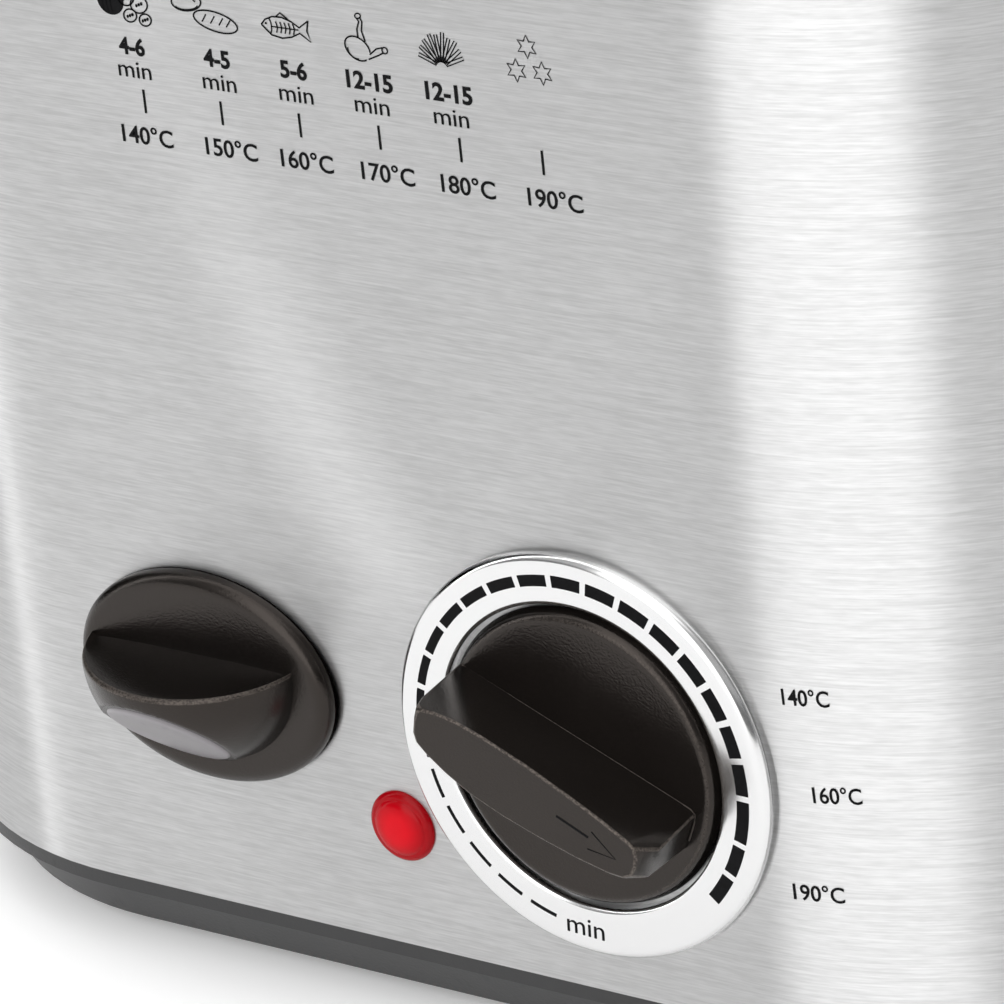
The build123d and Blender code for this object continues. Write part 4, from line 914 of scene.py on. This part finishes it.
def friesIcon():
    # thin bars fanned out from one foot
    shapes = []
    fan = (
        (-70, 3.4), (-52, 3.8), (-36, 4.2), (-20, 4.6), (-7, 4.4),
        (7, 4.9), (20, 4.3), (34, 4.5), (50, 3.9), (66, 3.6),
    )
    for tilt, size in fan:
        away = np.array([math.sin(math.radians(tilt)), math.cos(math.radians(tilt))])
        side = np.array([away[1], -away[0]]) * 0.26
        foot = np.array([tilt * 0.006, -2.4]) + away * 0.5
        tip = foot + away * size
        shapes.append(strip([foot - side, tip - side, tip + side, foot + side], 0.2))
    return shapes


def starIcon():
    # three six-pointed stars
    shapes = []
    for x, z in ((0.0, 2.6), (-2.3, -1.4), (2.4, -1.3)):
        angles = np.radians(90 + 30 * np.arange(12))
        radii = np.where(np.arange(12) % 2 == 0, 1.85, 0.95)
        star = np.column_stack([x + radii * np.cos(angles), z + radii * np.sin(angles)])
        shapes.append(strip(star, 0.22, True))
    return shapes


# from the panel layout's own zero to the part's x and z
faceX, faceZ = 34.0, 55.0
chartSettings = {
    "temps": ["140°C", "150°C", "160°C", "170°C", "180°C", "190°C"],
    "tempX": [-70.6, -54.2, -39.7, -24.4, -9.5, 6.4],
    "times": ["4-6", "4-5", "5-6", "12-15", "12-15"],
    "timeX": [-71.5, -55.0, -40.3, -26.0, -11.3],
    "timeWidth": [5.0, 5.0, 5.0, 8.6, 8.6],
    "icons": [onionIcon, breadIcon, fishIcon, chickenIcon, friesIcon, starIcon],
    "iconX": [-72.0, -56.5, -41.0, -26.5, -12.0, 4.0],
    "tickStart": -70.3,
    "tickStep": 15.02,
    "tickZ": (98.0, 101.9),
    "tempZ": 94.2,
    "minuteZ": 105.0,
    "timeZ": 108.9,
    "iconZ": 115.6,
}


def chartShapes():
    # columns of food symbol, minutes, tick and temperature
    shapes = []
    chart = chartSettings
    low, high = chart["tickZ"]
    for number, (text, x) in enumerate(zip(chart["temps"], chart["tempX"])):
        shapes.append(lettering(text, (x + faceX, chart["tempZ"] + faceZ), 3.1, 10.0, 0.012))
        tick = chart["tickStart"] + chart["tickStep"] * number + faceX
        shapes.append(strip([(tick, low + faceZ), (tick, high + faceZ)], 0.42))
    for text, x, width in zip(chart["times"], chart["timeX"], chart["timeWidth"]):
        shapes.append(lettering(text, (x + faceX, chart["timeZ"] + faceZ), 3.0, width, 0.03))
        shapes.append(lettering("min", (x + faceX, chart["minuteZ"] + faceZ), 2.6, 6.4, 0.0))
    for icon, x in zip(chart["icons"], chart["iconX"]):
        shapes += shifted(icon(), x + faceX, chart["iconZ"] + faceZ)
    return shapes


def ontoBar(flat):
    # marks laid on the bar's outer face, in millimetres along and across the bar
    out = np.full(len(flat), dialSettings["reach"] + wallSettings["barLift"])
    return ontoKnob(flat[:, 0], out, flat[:, 1]) * mm


arrowShapes = [
    strip([(6.0, 0.9), (12.2, 0.7)], 0.4),
    strip([(12.4, 2.0), (17.6, -0.1), (12.6, -1.3)], 0.22),
]
drawPrint("knobArrow", arrowShapes, ontoBar, "thermostat_knob")
drawPrint("cookingChart", chartShapes(), ontoWall, "housing")
dialLabels = [
    lettering("140°C", (42.6 + faceX, 18.3 + faceZ), 2.9, 7.7, 0.012, 2.0),
    lettering("160°C", (46.4 + faceX, 2.2 + faceZ), 2.9, 7.9, 0.012, 2.5),
    lettering("190°C", (42.0 + faceX, -14.9 + faceZ), 2.9, 8.5, 0.012, 1.5),
]
drawPrint("dialLabels", dialLabels, ontoWall, "housing")
print("printing laid on")


def paintFloor(place):
    # white paper sweep, faintly mottled
    mottle = clouds(place, 6, 3)
    return {
        "Base Color": blendTones(mottle, (0.93, 0.93, 0.93), (0.96, 0.96, 0.96)),
        "Roughness": 0.6 + 0.1 * mottle,
        "Specular IOR Level": 0.2,
        "Emission Color": blendTones(mottle, (0.97, 0.97, 0.97), (1.0, 1.0, 1.0)),
        "Emission Strength": 0.22,
    }


floorPoints = np.array([[[-3000.0, -3000, 0], [3000, -3000, 0]], [[-3000, 3000, 0], [3000, 3000, 0]]])
floorMesh = gridMesh("studioFloor", floorPoints)
floorMesh.materials.append(makeMaterial("studio_floor", paintFloor))
floorMesh.flip_normals()
floor = bpy.data.objects.new("studioFloor", floorMesh)
bpy.context.scene.collection.objects.link(floor)

studioSettings = {
    "base": 0.5,
    "front": 2.1,
    "overhead": 1.5,
    "strip": 5.2,
    "leftShade": 0.45,
    "horizon": 0.32,
}


def paintStudio():
    # the room as light by direction: soft walls, a tall front softbox, a side strip, a top light
    world = bpy.data.worlds.new("studio")
    bpy.context.scene.world = world
    world.use_nodes = True
    tree = world.node_tree
    background = tree.nodes["Background"]
    start = Wire(tree)
    direction = start.node("ShaderNodeTexCoord", out="Generated")
    parts = direction.node("ShaderNodeSeparateXYZ", {}, {"Vector": direction})
    node = parts.socket.node
    x, y, z = (Wire(tree, node.outputs[axis]) for axis in "XYZ")
    azimuth = x.maths("ARCTAN2", x, 0 - y) * (180 / math.pi)
    height = x.maths("ARCSINE", z) * (180 / math.pi)
    softbox = azimuth.rise(-27, -19) * (1 - azimuth.rise(22, 40)) * (1 - height.rise(50, 70))
    strip = azimuth.rise(-62, -60) * (1 - azimuth.rise(-57, -55)) * (1 - height.rise(50, 70))
    leftShade = azimuth.rise(-150, -120) * (1 - azimuth.rise(-64, -60)) * (1 - height.rise(40, 60))
    overhead = height.rise(48, 70)
    horizon = height.rise(-6, 2) * (1 - height.rise(10, 24)) * (1 - softbox)
    light = (
        studioSettings["base"]
        + studioSettings["front"] * softbox
        + studioSettings["strip"] * strip
        + studioSettings["overhead"] * overhead
        - studioSettings["leftShade"] * leftShade
        - studioSettings["horizon"] * horizon * (1 - 0.7 * leftShade)
    )
    tree.links.new(light.socket, background.inputs["Strength"])
    background.inputs["Color"].default_value = (1, 1, 1, 1)


paintStudio()

cameraSettings = {
    "lens": 235.9,
    "place": (0.58370, -0.87560, 0.49977),
    "tilt": 66.3412,
    "lean": 5.6218,
    "pan": 34.7859,
}
cameraData = bpy.data.cameras.new("camera")
cameraData.lens = cameraSettings["lens"]
cameraData.sensor_width = 36.0
cameraData.clip_start = 0.01
camera = bpy.data.objects.new("camera", cameraData)
bpy.context.scene.collection.objects.link(camera)
angles = [math.radians(cameraSettings[key]) for key in ("tilt", "lean", "pan")]
camera.matrix_world = Matrix.Translation(cameraSettings["place"]) @ Euler(angles).to_matrix().to_4x4()
bpy.context.scene.camera = camera
bpy.context.scene.view_settings.view_transform = "Standard"
